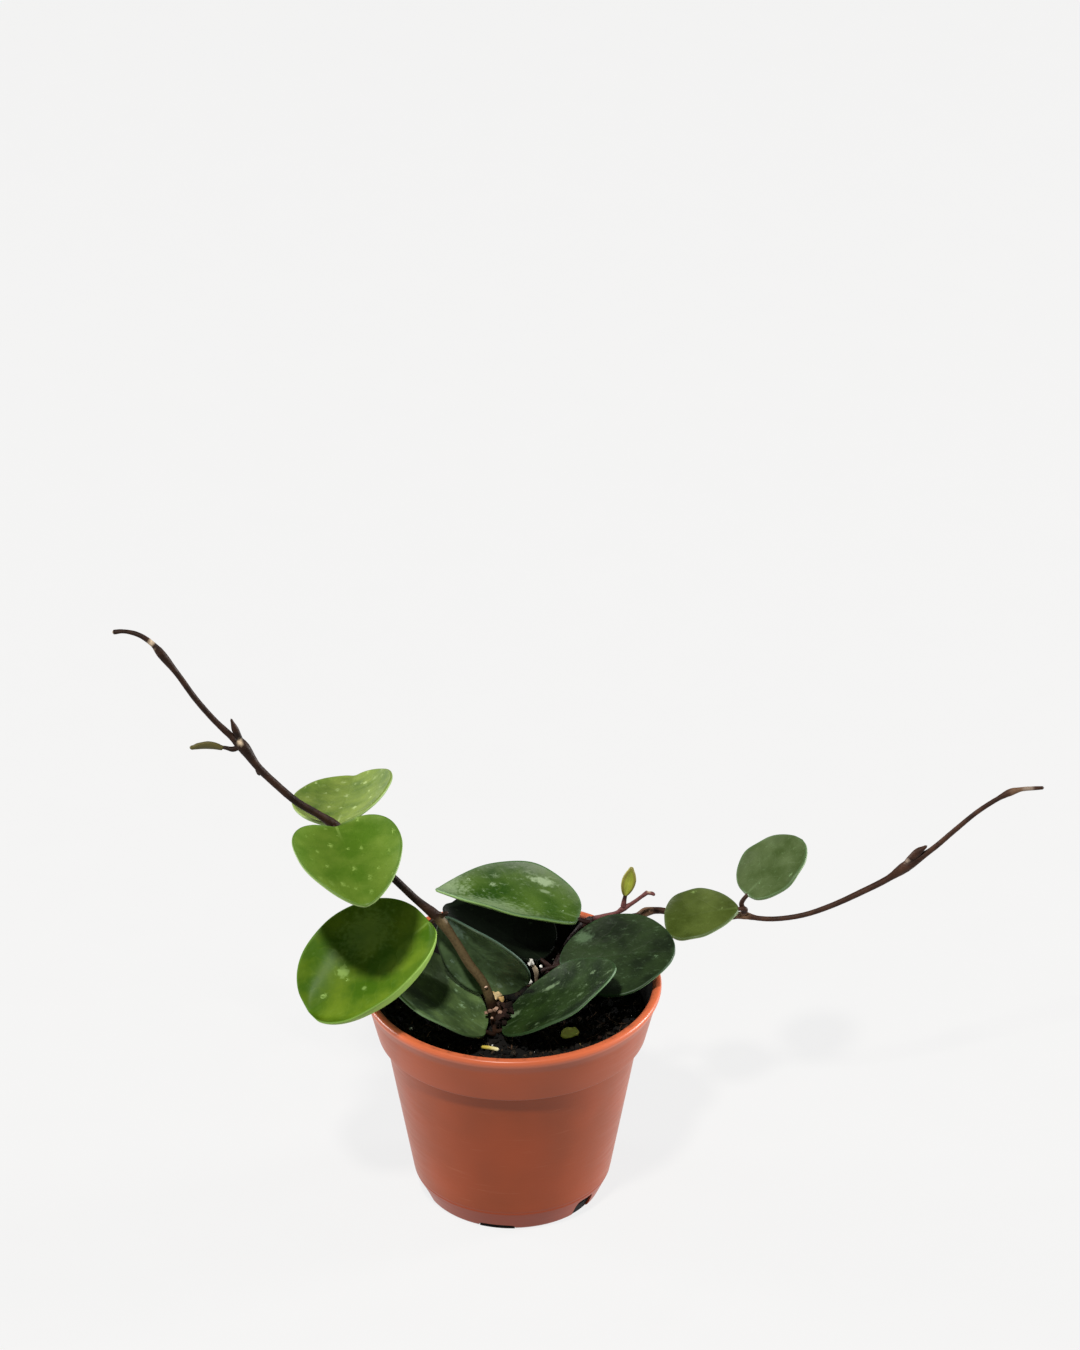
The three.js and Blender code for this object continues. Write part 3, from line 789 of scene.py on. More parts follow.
@dataclass
class NurseryPot:
    """Round injection-moulded pot with a tall collar, a rolled lip, and drain openings round its foot."""

    height: float = 48.2
    rim_radius: float = 30.0
    base_radius: float = 17.0
    wall: float = 0.8
    floor: float = 1.2
    collar_height: float = 11.0
    step_width: float = 1.5
    foot_height: float = 5.0
    foot_radius: float = 19.9
    waist_radius: float = 25.5
    shoulder_radius: float = 28.9
    lip_height: float = 3.4
    columns: int = 192
    # Low slots and tall notches take turns round the foot: width and height of each kind.
    openings: int = 6
    opening_start: float = -10.0
    slot: tuple[float, float] = (7.5, 1.3)
    notch: tuple[float, float] = (5.0, 4.2)
    opening_reach: tuple[float, float] = (13.2, 21.0)
    finish: MouldedPolypropylene = field(default_factory=MouldedPolypropylene)

    def profile(self) -> np.ndarray:
        """Half section of the pot, from the middle of its underside round the lip to its inner floor.

        Returns:
            (n, 3) radius, height, and how far the corner there is rounded.
        """
        step = self.height - self.collar_height
        top, rim, shoulder = self.height, self.rim_radius, self.shoulder_radius
        base, foot, waist, wall = self.base_radius, self.foot_radius, self.waist_radius, self.wall
        slope = (waist - foot) / (step - 0.8 - self.foot_height)
        outside = [
            (0, 0.35, 0.1), (base - 3.4, 0.35, 0.2), (base - 2.9, 0, 0.2), (base, 0, 0.3),
            (base + 0.8, 0.4, 0.4), (base + 1.3, 1.5, 0.8),
            (foot, self.foot_height, 0.3), (foot - 0.03, self.foot_height + 0.3, 0.15),
            (foot + 0.6 * slope, self.foot_height + 0.6, 0.3),
            (waist, step - 0.8, 0.15), (waist + self.step_width, step, 0.22),
            (shoulder, top - self.lip_height, 0.5), (rim - 0.4, top - 1.8, 0.5),
            (rim, top - 0.9, 0.5), (rim - 0.25, top - 0.2, 0.3), (rim - 0.8, top, 0.3),
        ]
        inside = [
            (rim - 1.5, top, 0.3), (shoulder - wall, top - 0.5, 0.3),
            (shoulder - wall, top - self.lip_height, 0.3), (waist + self.step_width - wall, step, 0.3),
            (waist - wall, step - 1.2, 0.3), (foot - wall, self.foot_height, 0.3),
            (base + 0.3, self.floor + 0.5, 0.3), (base - 0.6, self.floor, 0.2), (0, self.floor, 0.1),
        ]
        return np.array(outside + inside)

    def section(self) -> np.ndarray:
        """The profile with each corner turned into a short curve.

        A corner P becomes (1 - w)^2 A + 2 w (1 - w) P + w^2 B for w from 0 to 1, with A and B on the
        sides that meet there, at most the rounding or half a side away.

        Returns:
            (n, 2) radius and height.
        """
        rows = self.profile()
        points, reach = rows[:, :2], rows[1:-1, 2:]
        back, on = points[:-2] - points[1:-1], points[2:] - points[1:-1]
        back_long, on_long = (np.linalg.norm(v, axis=1, keepdims=True) for v in (back, on))
        start = points[1:-1] + back / back_long * np.minimum(reach, back_long * 0.48)
        end = points[1:-1] + on / on_long * np.minimum(reach, on_long * 0.48)
        w = np.linspace(0, 1, 5)[None, :, None]
        curves = (1 - w) ** 2 * start[:, None] + 2 * w * (1 - w) * points[1:-1, None] + w**2 * end[:, None]
        return np.concatenate([points[:1], curves.reshape(-1, 2), points[-1:]])

    def opening_turn(self, number: int) -> float:
        """Angle of a drain opening round +Z from +X."""
        return np.radians(self.opening_start - 90 + number * 360 / self.openings)

    def cutters(self) -> bpy.types.Object:
        """A block with rounded corners for each drain opening.

        Returns:
            All of them as one tool for the cut, which is removed after it.
        """
        shell = Shell()
        around = np.radians(np.arange(16) * 22.5 + 11.25)
        reach = np.array(self.opening_reach)[:, None, None]
        for number in range(self.openings):
            turn = self.opening_turn(number)
            wide, high = self.notch if number % 2 else self.slot
            out = spokes(turn)
            side = np.array([-np.sin(turn), np.cos(turn), 0])
            # A super-ellipse of power 6 is a block with rounded corners.
            width = np.sign(np.cos(around)) * np.abs(np.cos(around)) ** (1 / 3) * wide / 2
            rise = np.sign(np.sin(around)) * np.abs(np.sin(around)) ** (1 / 3) * high
            shell.add_rings(reach * out + width[:, None] * side + rise[:, None] * UP)
        return shell.build("slot_tool", bpy.data.materials.new("slot_tool"))

    def build(self) -> None:
        """Turn the section about the axis, cut the slots and dress the pot."""
        section = self.section()
        spun = section[:, None, :1] * spokes(circle(self.columns)) + section[:, None, 1:] * UP
        shell = Shell()
        shell.add_rings(spun[1:-1])
        pot = shell.build("nursery_pot", self.finish.material())
        plastic = pot.data.materials[0]
        tool = self.cutters()
        cut = pot.modifiers.new("slots", "BOOLEAN")
        cut.operation, cut.solver, cut.object = "DIFFERENCE", "EXACT", tool
        done = bpy.data.meshes.new_from_object(pot.evaluated_get(bpy.context.evaluated_depsgraph_get()))
        pot.modifiers.clear()
        pot.data = done
        bpy.data.objects.remove(tool)
        done.materials.clear()
        done.materials.append(plastic)
        done.polygons.foreach_set("material_index", np.zeros(len(done.polygons), int))
        done.polygons.foreach_set("use_smooth", np.ones(len(done.polygons), bool))
        done.set_sharp_from_angle(angle=np.radians(40))
        hand_over(pot, "pot", "pot")
        self.painted_shade_behind_openings()

    def painted_shade_behind_openings(self) -> None:
        """Dark bars behind the openings: painted shade for the shadowed floor under the pot."""
        shell = Shell()
        # The section of each dark bar: how far out from the base's radius, and how high.
        low = np.array([(-0.6, 0.06), (0.42, 0.06), (0.42, 1.0), (-0.6, 1.0)])
        tall = np.array([(-0.6, 0.06), (0.2, 0.06), (1.0, 2.2), (-0.6, 2.2)])
        for number in range(self.openings):
            bar, wide = (tall, self.notch[0]) if number % 2 else (low, self.slot[0])
            spread = self.opening_turn(number) + np.linspace(-1, 1, 14) * (wide / 2 - 0.25) / self.base_radius
            ring = (self.base_radius + bar[:, :1]) * spokes(spread)[:, None]
            shell.add_rings(ring + bar[:, 1:] * UP)
        finish = LooseMatter("painted_shade_in_slots", ("#050302", "#0c0704", "#1c110b"))
        hand_over(shell.build("painted_shade_behind_openings", finish.material(), 40), "soil")


# The soil

# Where each cutting stands in the soil: x, y and the radius of its stem there.
CUTTINGS = ((-3.2, -6.2, 0.95), (8.5, 9.8, 0.85), (16.2, 14.8, 0.75))


@dataclass
class PottingMix:
    """Dark peat with crumbs, fibres and white perlite, a little below the rim."""

    pot: NurseryPot
    camera: PhotoCamera
    level: float = 40.3
    lump: float = 0.55
    fine_lump: float = 0.14
    # How far the mass lies below the surface on which the crumbs lie.
    sunk: float = 0.12
    seat_gap: float = 0.3
    rings: int = 84
    columns: int = 160
    crumbs: int = 3400
    # Heaps of old roots and peat round the foot of the front cutting: x, y, height and reach.
    heaps: tuple[Station, ...] = ((-0.9, -3.0, 2.0, 3.4), (-3.5, -8.0, 1.1, 2.6))
    crumb_size: tuple[float, float] = (0.22, 0.85)
    # Ranges from which a lump's half widths and the bumps on it are drawn, as shares of its size.
    lump_stretch: tuple[float, float] = (0.55, 1.15)
    lump_bumps: tuple[float, float] = (-0.28, 0.22)
    fibres: int = 260
    perlite: int = 42
    peat: LooseMatter = LooseMatter(
        "damp_peat", ("#020202", "#080605", "#110d0a", "#1e170f", "#382c20"), depth=0.2
    )
    perlite_finish: LooseMatter = LooseMatter(
        "expanded_perlite", ("#b9b6ae", "#d9d7d0", "#efede8"), pit=0.3, depth=0.1
    )
    fibre_finish: LooseMatter = LooseMatter("peat_fibre", ("#140d09", "#2b1c12", "#4a3322"), depth=0.05)
    # Perlite grains that show in the photograph, as pixels across and down, and size in millimetres.
    grains_seen: tuple[tuple[float, float, float], ...] = (
        (531, 964, 1.2), (530, 983, 0.9), (553, 961, 0.55), (557, 954, 0.5), (523, 957, 0.6),
        (519, 1034, 0.6), (605, 1025, 0.6), (411, 1029, 0.7), (423, 1033, 0.5), (537, 975, 0.7),
        (541, 968, 0.55), (563, 1046, 0.45), (620, 1018, 0.4), (592, 1036, 0.4),
    )

    def height(self, x: np.ndarray, y: np.ndarray) -> np.ndarray:
        """Height of the surface: three crossed waves, flat where a stem stands, with finer waves and heaps.

        Args:
            x: places to the right.
            y: places away, as many.

        Returns:
            The heights, as many.
        """
        waves = np.sin(0.9 * x + 0.4 * y) + np.sin(1.3 * y - 0.5 * x + 1) + np.sin(0.7 * (x + y) + 2.1)
        flat = np.ones_like(x)
        for stem_x, stem_y, _ in CUTTINGS:
            flat = flat * smoothstep(np.hypot(x - stem_x, y - stem_y), 2, 6)
        fine = np.sin(2.9 * x + 1.7 * y) * np.sin(2.3 * y - 1.9 * x + 0.6)
        fine = fine + 0.6 * np.sin(4.7 * x) * np.sin(5.3 * y + 1)
        heap = np.zeros_like(x)
        for heap_x, heap_y, rise, reach in self.heaps:
            heap = heap + rise * (1 - smoothstep(np.hypot(x - heap_x, y - heap_y), 0.5, reach))
        heap = heap * (1 + 0.2 * np.sin(2.6 * x + 1.9 * y))
        return self.level + self.lump / 3 * waves * flat + self.fine_lump * fine + heap

    @property
    def radius(self) -> float:
        """Radius of the surface, just in from the wall.

        Returns:
            The collar's inner radius at the soil's level, less the seat's gap.
        """
        pot = self.pot
        low, high = pot.waist_radius + pot.step_width, pot.shoulder_radius
        step = pot.height - pot.collar_height
        part = (self.level - step) / (pot.collar_height - pot.lip_height)
        return low + (high - low) * part - pot.wall - self.seat_gap

    def body(self) -> bpy.types.Object:
        """The mass of the soil: its seat inside the pot, closed by a lumpy top.

        Returns:
            The object.
        """
        pot, gap = self.pot, self.seat_gap
        step = pot.height - pot.collar_height
        seat = [
            (pot.base_radius - 0.6, pot.floor), (pot.base_radius + 0.3, pot.floor + 0.5),
            (pot.foot_radius - pot.wall, pot.foot_height), (pot.waist_radius - pot.wall, step - 1.2),
            (pot.waist_radius + pot.step_width - pot.wall, step),
        ]
        low = np.array([(1.0, pot.floor + gap)] + [(r - gap, z + gap) for r, z in seat])
        top = np.linspace(self.radius, 0.3, self.rings)
        radius = np.concatenate([low[:, 0], top])
        turn = circle(self.columns)
        x, y = radius[:, None] * np.cos(turn), radius[:, None] * np.sin(turn)
        surface = self.height(x[len(low) :], y[len(low) :]) - self.sunk
        z = np.concatenate([np.repeat(low[:, 1:], self.columns, 1), surface])
        rng = np.random.default_rng(SEED)
        shell = Shell()
        shell.add_rings(np.stack([x, y, z], -1), grain=0.15 + 0.25 * rng.random(x.shape))
        return shell.build("peat_mass", self.peat.material())

    @staticmethod
    def grain_shape() -> tuple[np.ndarray, np.ndarray]:
        """An octahedron with each face split into four, its points pushed out to a ball.

        Returns:
            (18, 3) places on the unit ball and (32, 3) faces.
        """
        corners = np.array([(1, 0, 0), (-1, 0, 0), (0, 1, 0), (0, -1, 0), (0, 0, 1), (0, 0, -1)], float)
        faces = np.array(
            [(0, 2, 4), (2, 1, 4), (1, 3, 4), (3, 0, 4), (2, 0, 5), (1, 2, 5), (3, 1, 5), (0, 3, 5)]
        )
        edges = np.sort(np.concatenate([faces[:, [0, 1]], faces[:, [1, 2]], faces[:, [2, 0]]]), axis=1)
        pairs, number = np.unique(edges, axis=0, return_inverse=True)
        number = number.reshape(3, -1).T + 6
        ball = unit(np.concatenate([corners, corners[pairs].mean(1)]))
        a, b, c = faces.T
        ab, bc, ca = number.T
        split = ((a, ab, ca), (ab, b, bc), (ca, bc, c), (ab, bc, ca))
        return ball, np.concatenate([np.stack(triple, -1) for triple in split])

    @staticmethod
    def turned(rng: np.random.Generator, count: int) -> np.ndarray:
        """Random turns, each from a unit quaternion w + x i + y j + z k.

        Args:
            rng: the seeded source.
            count: how many.

        Returns:
            (count, 3, 3) matrices.
        """
        w, x, y, z = unit(rng.normal(size=(count, 4))).T
        return np.stack(
            [
                np.stack([1 - 2 * (y * y + z * z), 2 * (x * y - z * w), 2 * (x * z + y * w)], -1),
                np.stack([2 * (x * y + z * w), 1 - 2 * (x * x + z * z), 2 * (y * z - x * w)], -1),
                np.stack([2 * (x * z - y * w), 2 * (y * z + x * w), 1 - 2 * (x * x + y * y)], -1),
            ],
            1,
        )

    def grains(
        self, name: str, finish: LooseMatter, places: np.ndarray, sizes: np.ndarray, tones: np.ndarray,
        rng: np.random.Generator, sink: float = 0.25, least: np.ndarray | float = 0.0,
    ) -> bpy.types.Object:
        """One mesh of many small angular lumps that lie on the soil, or higher where something carries them.

        Args:
            name: the piece's name.
            finish: its finish.
            places: (n, 2) x and y of each lump.
            sizes: (n,) half widths.
            tones: (n,) tone of each, from 0 to 1.
            rng: the seeded source of shapes.
            sink: how deep each one sits, as a share of its size.
            least: the least height of each, or of all.

        Returns:
            The object.
        """
        ball, faces = self.grain_shape()
        count = len(places)
        stretch = rng.uniform(*self.lump_stretch, (count, 1, 3)) * sizes[:, None, None]
        bumps = 1 + rng.uniform(*self.lump_bumps, (count, len(ball), 1))
        lumps = np.einsum("nij,nkj->nki", self.turned(rng, count), ball * bumps * stretch)
        ground = np.maximum(self.height(places[:, 0], places[:, 1]), least)
        centres = np.stack([places[:, 0], places[:, 1], ground + sizes * (0.55 - sink)], -1)
        points = (lumps + centres[:, None]).reshape(-1, 3)
        every = (faces[None] + (np.arange(count) * len(ball))[:, None, None]).reshape(-1, 3)
        shell = Shell()
        shell.add(points, every, np.zeros((0, 4), int), grain=np.repeat(tones, len(ball)))
        return shell.build(name, finish.material(), sharp=38)

    def scatter(self, rng: np.random.Generator, count: int, clear: float) -> np.ndarray:
        """Random places over the soil, clear of the wall and of the stems.

        Args:
            rng: the seeded source.
            count: how many at most.
            clear: how far from the wall.

        Returns:
            (n, 2) places x, y.
        """
        places = rng.uniform(-1, 1, (count * 2, 2)) * self.radius
        free = np.hypot(places[:, 0], places[:, 1]) < self.radius - clear
        for x, y, radius in CUTTINGS:
            free &= np.hypot(places[:, 0] - x, places[:, 1] - y) > radius + 0.3
        return places[free][:count]

    def build(self) -> None:
        """Make the soil, its crumbs, its fibres and its perlite."""
        hand_over(self.body(), "soil", "soil")
        rng = np.random.default_rng(SEED + 1)
        places = self.scatter(rng, self.crumbs, clear=0.7)
        low, high = self.crumb_size
        sizes = low + (high - low) * rng.random(len(places)) ** 2.6
        tones = rng.random(len(places)) ** 1.6
        hand_over(self.grains("peat_crumbs", self.peat, places, sizes, tones, rng), "soil")

        seen = np.array(self.grains_seen)
        known = self.camera.on_level(seen[:, :2], self.level + 0.3)
        more = self.scatter(rng, self.perlite, clear=1.0)
        places = np.concatenate([known, more])
        sizes = np.concatenate([seen[:, 2] / 2, rng.uniform(0.14, 0.34, len(more))])
        tones = rng.uniform(0.2, 1.0, len(places))
        grains = self.grains("perlite", self.perlite_finish, places, sizes, tones, rng, sink=-0.25)
        hand_over(grains, "soil")
        hand_over(self.strands(rng), "soil")

    def strands(self, rng: np.random.Generator) -> bpy.types.Object:
        """Short bent fibres and slivers of bark, each a thin four-sided tube along a shallow arc.

        Args:
            rng: the seeded source.

        Returns:
            The object.
        """
        places = self.scatter(rng, self.fibres, clear=3.0)
        count, steps = len(places), np.linspace(-1, 1, 6)
        heading = rng.uniform(0, 2 * np.pi, count)
        reach = rng.uniform(0.8, 2.6, count)
        bend = rng.uniform(-0.5, 0.5, count)
        thick = rng.uniform(0.07, 0.2, count)
        out = np.stack([np.cos(heading), np.sin(heading)], -1)
        side = np.stack([-np.sin(heading), np.cos(heading)], -1)
        line = places[:, None] + out[:, None] * (reach[:, None] * steps)[..., None]
        line = line + side[:, None] * (bend[:, None] * (1 - steps**2))[..., None]
        inside = np.minimum(1, (self.radius - 0.4) / np.maximum(np.hypot(line[..., 0], line[..., 1]), 1e-6))
        line = line * inside[..., None]
        rise = self.height(line[..., 0], line[..., 1]) + 0.3
        around = np.radians(np.arange(4) * 90 + 45)
        taper = thick[:, None] * rounding(1.001 - np.abs(steps), 0.5)
        across = side[:, None, None] * (taper[..., None] * np.cos(around))[..., None]
        flat = line[:, :, None] + across
        tall = rise[..., None] + taper[..., None] * np.sin(around)
        rings = np.concatenate([flat, tall[..., None]], -1)
        shell = Shell()
        tones = rng.random(count)
        for ring, tone in zip(rings, tones):
            shell.add_rings(ring, grain=np.full(ring.shape[:2], tone))
        return shell.build("peat_fibres", self.fibre_finish.material())


# Leaves


@dataclass
class Blade:
    """One leaf. It leaves `base` along `heading` (round +Z from +X) and `pitch` (above level).

    `droop` and `swing` bend its midrib down and sideways by its tip, `roll` and `twist` turn it about
    the midrib at its base and by its tip, and `cup` is the half angle of the arc that its
    cross-section follows. `belly` is where it is widest, and a smaller `base_fullness` or
    `tip_fullness` makes that end rounder. `lobe` sets its shoulders back, and `rim` turns up the last
    `rim_width` of its left edge.
    """

    name: str
    slot: str
    tone: LeafTone
    node: Point
    base: Point
    heading: float
    pitch: float
    roll: float
    length: float
    width: float
    cup: float
    belly: float
    base_fullness: float
    tip_fullness: float
    droop: float = 0.0
    swing: float = 0.0
    lobe: float = 0.0
    twist: float = 0.0
    rim: float = 0.0
    rim_width: float = 5.0
    flutter: float = 0.3
    phase: float = 0.0
    stalk: bool = True
    thickness: float = 0.9
    edge: float = 0.65
    end: float = 0.5
    rib_width: float = 0.7
    crease: float = 0.07
    ridge: float = 0.22
    rows: int = 84
    columns: int = 112

    def axes(self, along: np.ndarray) -> tuple[np.ndarray, np.ndarray, np.ndarray]:
        """The blade's own directions at places along its midrib.

        Args:
            along: (n,) shares of the length.

        Returns:
            Three (n, 3) arrays: forward, to the left, and out of the upper face.
        """
        heading = np.radians(self.heading + self.swing * along)
        pitch = np.radians(self.pitch - self.droop * along)
        roll = np.radians(self.roll + self.twist * along)[:, None]
        run = np.cos(pitch)
        forward = np.stack([np.cos(heading) * run, np.sin(heading) * run, np.sin(pitch)], -1)
        level = np.stack([-np.sin(heading), np.cos(heading), 0 * heading], -1)
        upright = np.cross(forward, level)
        left = level * np.cos(roll) + upright * np.sin(roll)
        return forward, left, upright * np.cos(roll) - level * np.sin(roll)

    def shape(self) -> tuple[np.ndarray, np.ndarray, np.ndarray]:
        """The blade as rings round its cross-sections.

        The half width is width / 2 * sin(pi * u) ^ fullness with u = along ^ (log 0.5 / log belly).
        Each section is an arc, thickest at the midrib, with half-round edges, a crease along the
        midrib above and a ridge below. A rim is added to it as a parabola. Both ends close within
        half a millimetre, and the edges flutter by a fraction of a millimetre.

        Returns:
            (rows, columns, 3) places, (rows, columns, 3) millimetres across, along and in from the
            margin, and (rows, columns) how much each point belongs to the upper face.
        """
        along = 0.5 - 0.5 * np.cos(np.pi * np.linspace(0, 1, self.rows + 1))
        fine = np.linspace(0, 1, 401)
        steps = self.axes((fine[1:] + fine[:-1]) / 2)[0] * self.length / 400
        trail = np.concatenate([np.zeros((1, 3)), np.cumsum(steps, 0)]) + np.array(self.base)
        spine = np.stack([np.interp(along, fine, trail[:, k]) for k in range(3)], -1)[:, None]
        forward, left, normal = (v[:, None] for v in self.axes(along))
        fullness = self.base_fullness + (self.tip_fullness - self.base_fullness) * along
        skew = np.log(0.5) / np.log(self.belly)
        outline = np.clip(np.sin(np.pi * along**skew), 0, 1) ** fullness
        from_end = np.minimum(along, 1 - along) * self.length
        half = np.maximum(self.width / 2 * outline, self.end) * rounding(from_end, self.end)
        turn = circle(self.columns)
        across = np.cos(turn)
        face = np.where(np.abs(np.sin(turn)) < 1e-9, 0, np.sign(np.sin(turn)))
        cup = np.radians(self.cup)
        angle = cup * across
        half, outline, share = half[:, None], outline[:, None], along[:, None]
        sideways = half * np.sin(angle) / cup
        lift = half * (1 - np.cos(angle)) / cup
        wave = np.sin(2 * np.pi * (1.3 * share + self.phase))
        wave = wave + 0.6 * np.sin(2 * np.pi * (2.7 * share - self.phase))
        lift = lift + self.flutter * np.abs(across) ** 3 * np.sign(across + 0.2) * wave * outline * share**0.5
        inward = half * (1 - np.abs(across))
        near = np.clip(1 - inward / self.rim_width, 0, 1)
        rim = self.rim * outline
        lift = lift + rim * near**2 * (1 + across) / 2
        climb = half * np.sin(angle) + rim * (
            near**2 / 2 + near * (1 + across) * np.sign(across) * half / self.rim_width
        )
        lean = np.arctan2(climb, half * np.cos(angle))[..., None]
        back = self.lobe * outline * across**2 * (1 - share) ** 2
        outward = normal * np.cos(lean) - left * np.sin(lean)
        centre = spine + left * sideways[..., None] + normal * lift[..., None] - forward * back[..., None]
        full = (self.thickness + (self.edge - self.thickness) * across**2) / 2
        thick = full * rounding(inward, full) * rounding(from_end, self.end)[:, None]
        mid = np.exp(-((half * across / self.rib_width) ** 2)) * smoothstep(share, 0, 0.06)
        crease = self.crease * mid * (1 - 0.8 * share)
        ridge = self.ridge * mid * (1 - share)
        offset = np.where(face > 0, thick - crease, -(thick + ridge)) * np.abs(face)
        rings = centre + outward * offset[..., None]
        own = np.stack(
            [half * across, share * self.length + 0 * across, np.minimum(inward, from_end[:, None] * 0.8)], -1
        )
        upper = np.repeat(((face + 1) / 2)[None], len(along), 0)
        return rings, own, upper

    def piece(self, name: str, material: bpy.types.Material, dry: bool = False) -> bpy.types.Object:
        """The blade as an object, with the values that its material reads.

        Args:
            name: the piece's name.
            material: its one material.
            dry: whether that is loose matter, which reads a grain.

        Returns:
            The object.
        """
        rings, own, upper = (part[1:-1] for part in self.shape())
        values = {"grain": 0.5 + 0.3 * upper} if dry else {"blade": own, "upper": upper}
        shell = Shell()
        shell.add_rings(rings, **values)
        return shell.build(name, material)

    def build(self) -> None:
        """Make the blade and dress it."""
        piece = self.piece(f"blade_{self.name}", WaxyBlade(self.tone).material())
        hand_over(piece, self.slot, self.name)

    def petiole(self) -> "Stem":
        """The short stalk from the node into the underside of the blade's base.

        Returns:
            Its stem.
        """
        forward, _, normal = (v[0] for v in self.axes(np.zeros(1)))
        base, node = np.array(self.base), np.array(self.node)
        end = base - forward * 0.3
        reach = np.linalg.norm(node - end)
        bend = end - forward * reach * 0.35
        bend = bend + (node - bend) * 0.15
        inside = base + forward * 1.8 - normal * 0.1
        return Stem(((*node, 0.68), (*bend, 0.52), (*end, 0.44), (*inside, 0.26)), sides=12)


BLADES = (
    Blade(
        "leaf_upper_back", "leaf_grey_green", LeafTone.GREY_GREEN, (-34.8, -2.6, 86.1), (-34.3, -1.3, 85.3),
        83.3, -8.7, -12.7, 25.4, 21.8, 35.2, 0.46, 0.4, 0.54, twist=-3.4, lobe=0.9, phase=0.1, flutter=0.15,
    ),
    Blade(
        "leaf_upper_front", "leaf_bright", LeafTone.BRIGHT, (-34.8, -2.6, 86.1), (-34.6, -4.2, 86.6),
        -75, -2, 3, 25, 23, 38, 0.4, 0.45, 0.55, droop=12, lobe=0.6, phase=0.35,
    ),
    Blade(
        "leaf_cupped", "leaf_cupped", LeafTone.CUPPED, (-14.6, -5.0, 66.0), (-16.2, -6.0, 65.6),
        206.4, -30.9, -16.4, 29.9, 27.1, 32.2, 0.49, 0.4, 0.38, twist=-8.3, droop=-5.3, swing=-3.6,
        lobe=0.8, rim=5.4, phase=0.6,
    ),
    Blade(
        "leaf_hanging", "leaf_shade", LeafTone.SHADE_PAINTED_LIGHTER, (-14.4, -5.0, 65.6), (-13.6, -2.5, 64.6),
        -13.3, -48.7, 111.1, 22.6, 17.4, 28.2, 0.56, 0.46, 0.52, twist=0.6, droop=-9.5, swing=18.7,
        lobe=0.4, phase=0.2, flutter=0.15,
    ),
    Blade(
        "leaf_low_left", "leaf_dark", LeafTone.SAGE, (-3.2, -6.4, 41.8), (-5.2, -9.9, 42.4),
        171.9, 32.6, 2.3, 25.9, 24.2, 24.6, 0.5, 0.49, 0.6, twist=1.1, droop=1.2, swing=-2.1,
        lobe=0.7, phase=0.8,
    ),
    Blade(
        "leaf_low_right", "leaf_dark", LeafTone.DARK, (-3.0, -6.4, 41.8), (-1.9, -9.0, 42.2),
        -2, 33, 2, 27, 18.5, 15, 0.5, 0.48, 0.55, swing=5, lobe=0.4, phase=0.45,
    ),
    Blade(
        "leaf_shaded", "leaf_shade", LeafTone.DEEP_SHADE, (8.5, 10.6, 43.0), (5.9, 10.1, 46.5),
        138.6, 12.8, 5.9, 25.0, 21.5, 34.9, 0.45, 0.48, 0.5, twist=-3.2, droop=11.5, swing=-1.6,
        lobe=0.8, phase=0.15,
    ),
    Blade(
        "leaf_right", "leaf_dark", LeafTone.DUSK, (8.5, 10.4, 42.6), (9.5, 3.6, 49.3),
        3.7, 11.3, 20.4, 23.7, 21.1, 5.7, 0.53, 0.5, 0.55, twist=-2.2, droop=1.7, swing=-18.3,
        lobe=0.2, phase=0.7,
    ),
    Blade(
        "leaf_top", "leaf_top", LeafTone.TOP, (15.6, 16.0, 52.6), (13.3, 12.1, 54.9),
        168.6, 15.8, -2.4, 29.8, 20.3, 42.9, 0.45, 0.47, 0.94, twist=2.3, droop=19.8, swing=-2.5,
        lobe=0.8, phase=0.3,
    ),
    Blade(
        "leaf_runner_low", "leaf_olive", LeafTone.OLIVE, (46.4, 15.5, 54.0), (45.7, 14.0, 56.2),
        180, -8, -15, 15.5, 14, 16, 0.6, 0.5, 0.42, droop=12, lobe=0.2, phase=0.55,
    ),
    Blade(
        "leaf_runner_high", "leaf_blue", LeafTone.BLUE_GREEN, (47.0, 15.8, 54.2), (47.2, 15.4, 58.5),
        33, 33, -1, 16, 16, 19, 0.48, 0.45, 0.55, lobe=0.5, phase=0.9,
    ),
    Blade(
        "young_leaf_left", "young_leaf", LeafTone.YOUNG, (-56.0, -1.0, 102.9), (-56.4, -1.0, 103.0),
        180, 14, 55, 6.8, 2.6, 35, 0.5, 0.7, 1.0, droop=30, flutter=0.1, stalk=False, rows=40, columns=64,
    ),
    Blade(
        "young_leaf_shoot", "young_leaf", LeafTone.NEW_SHOOT, (22.4, 15.0, 55.9), (22.7, 14.9, 58.6),
        20, 78, 75, 6.8, 3.0, 35, 0.5, 0.6, 0.8, flutter=0.1, rows=40, columns=64,
    ),
)


# Stems


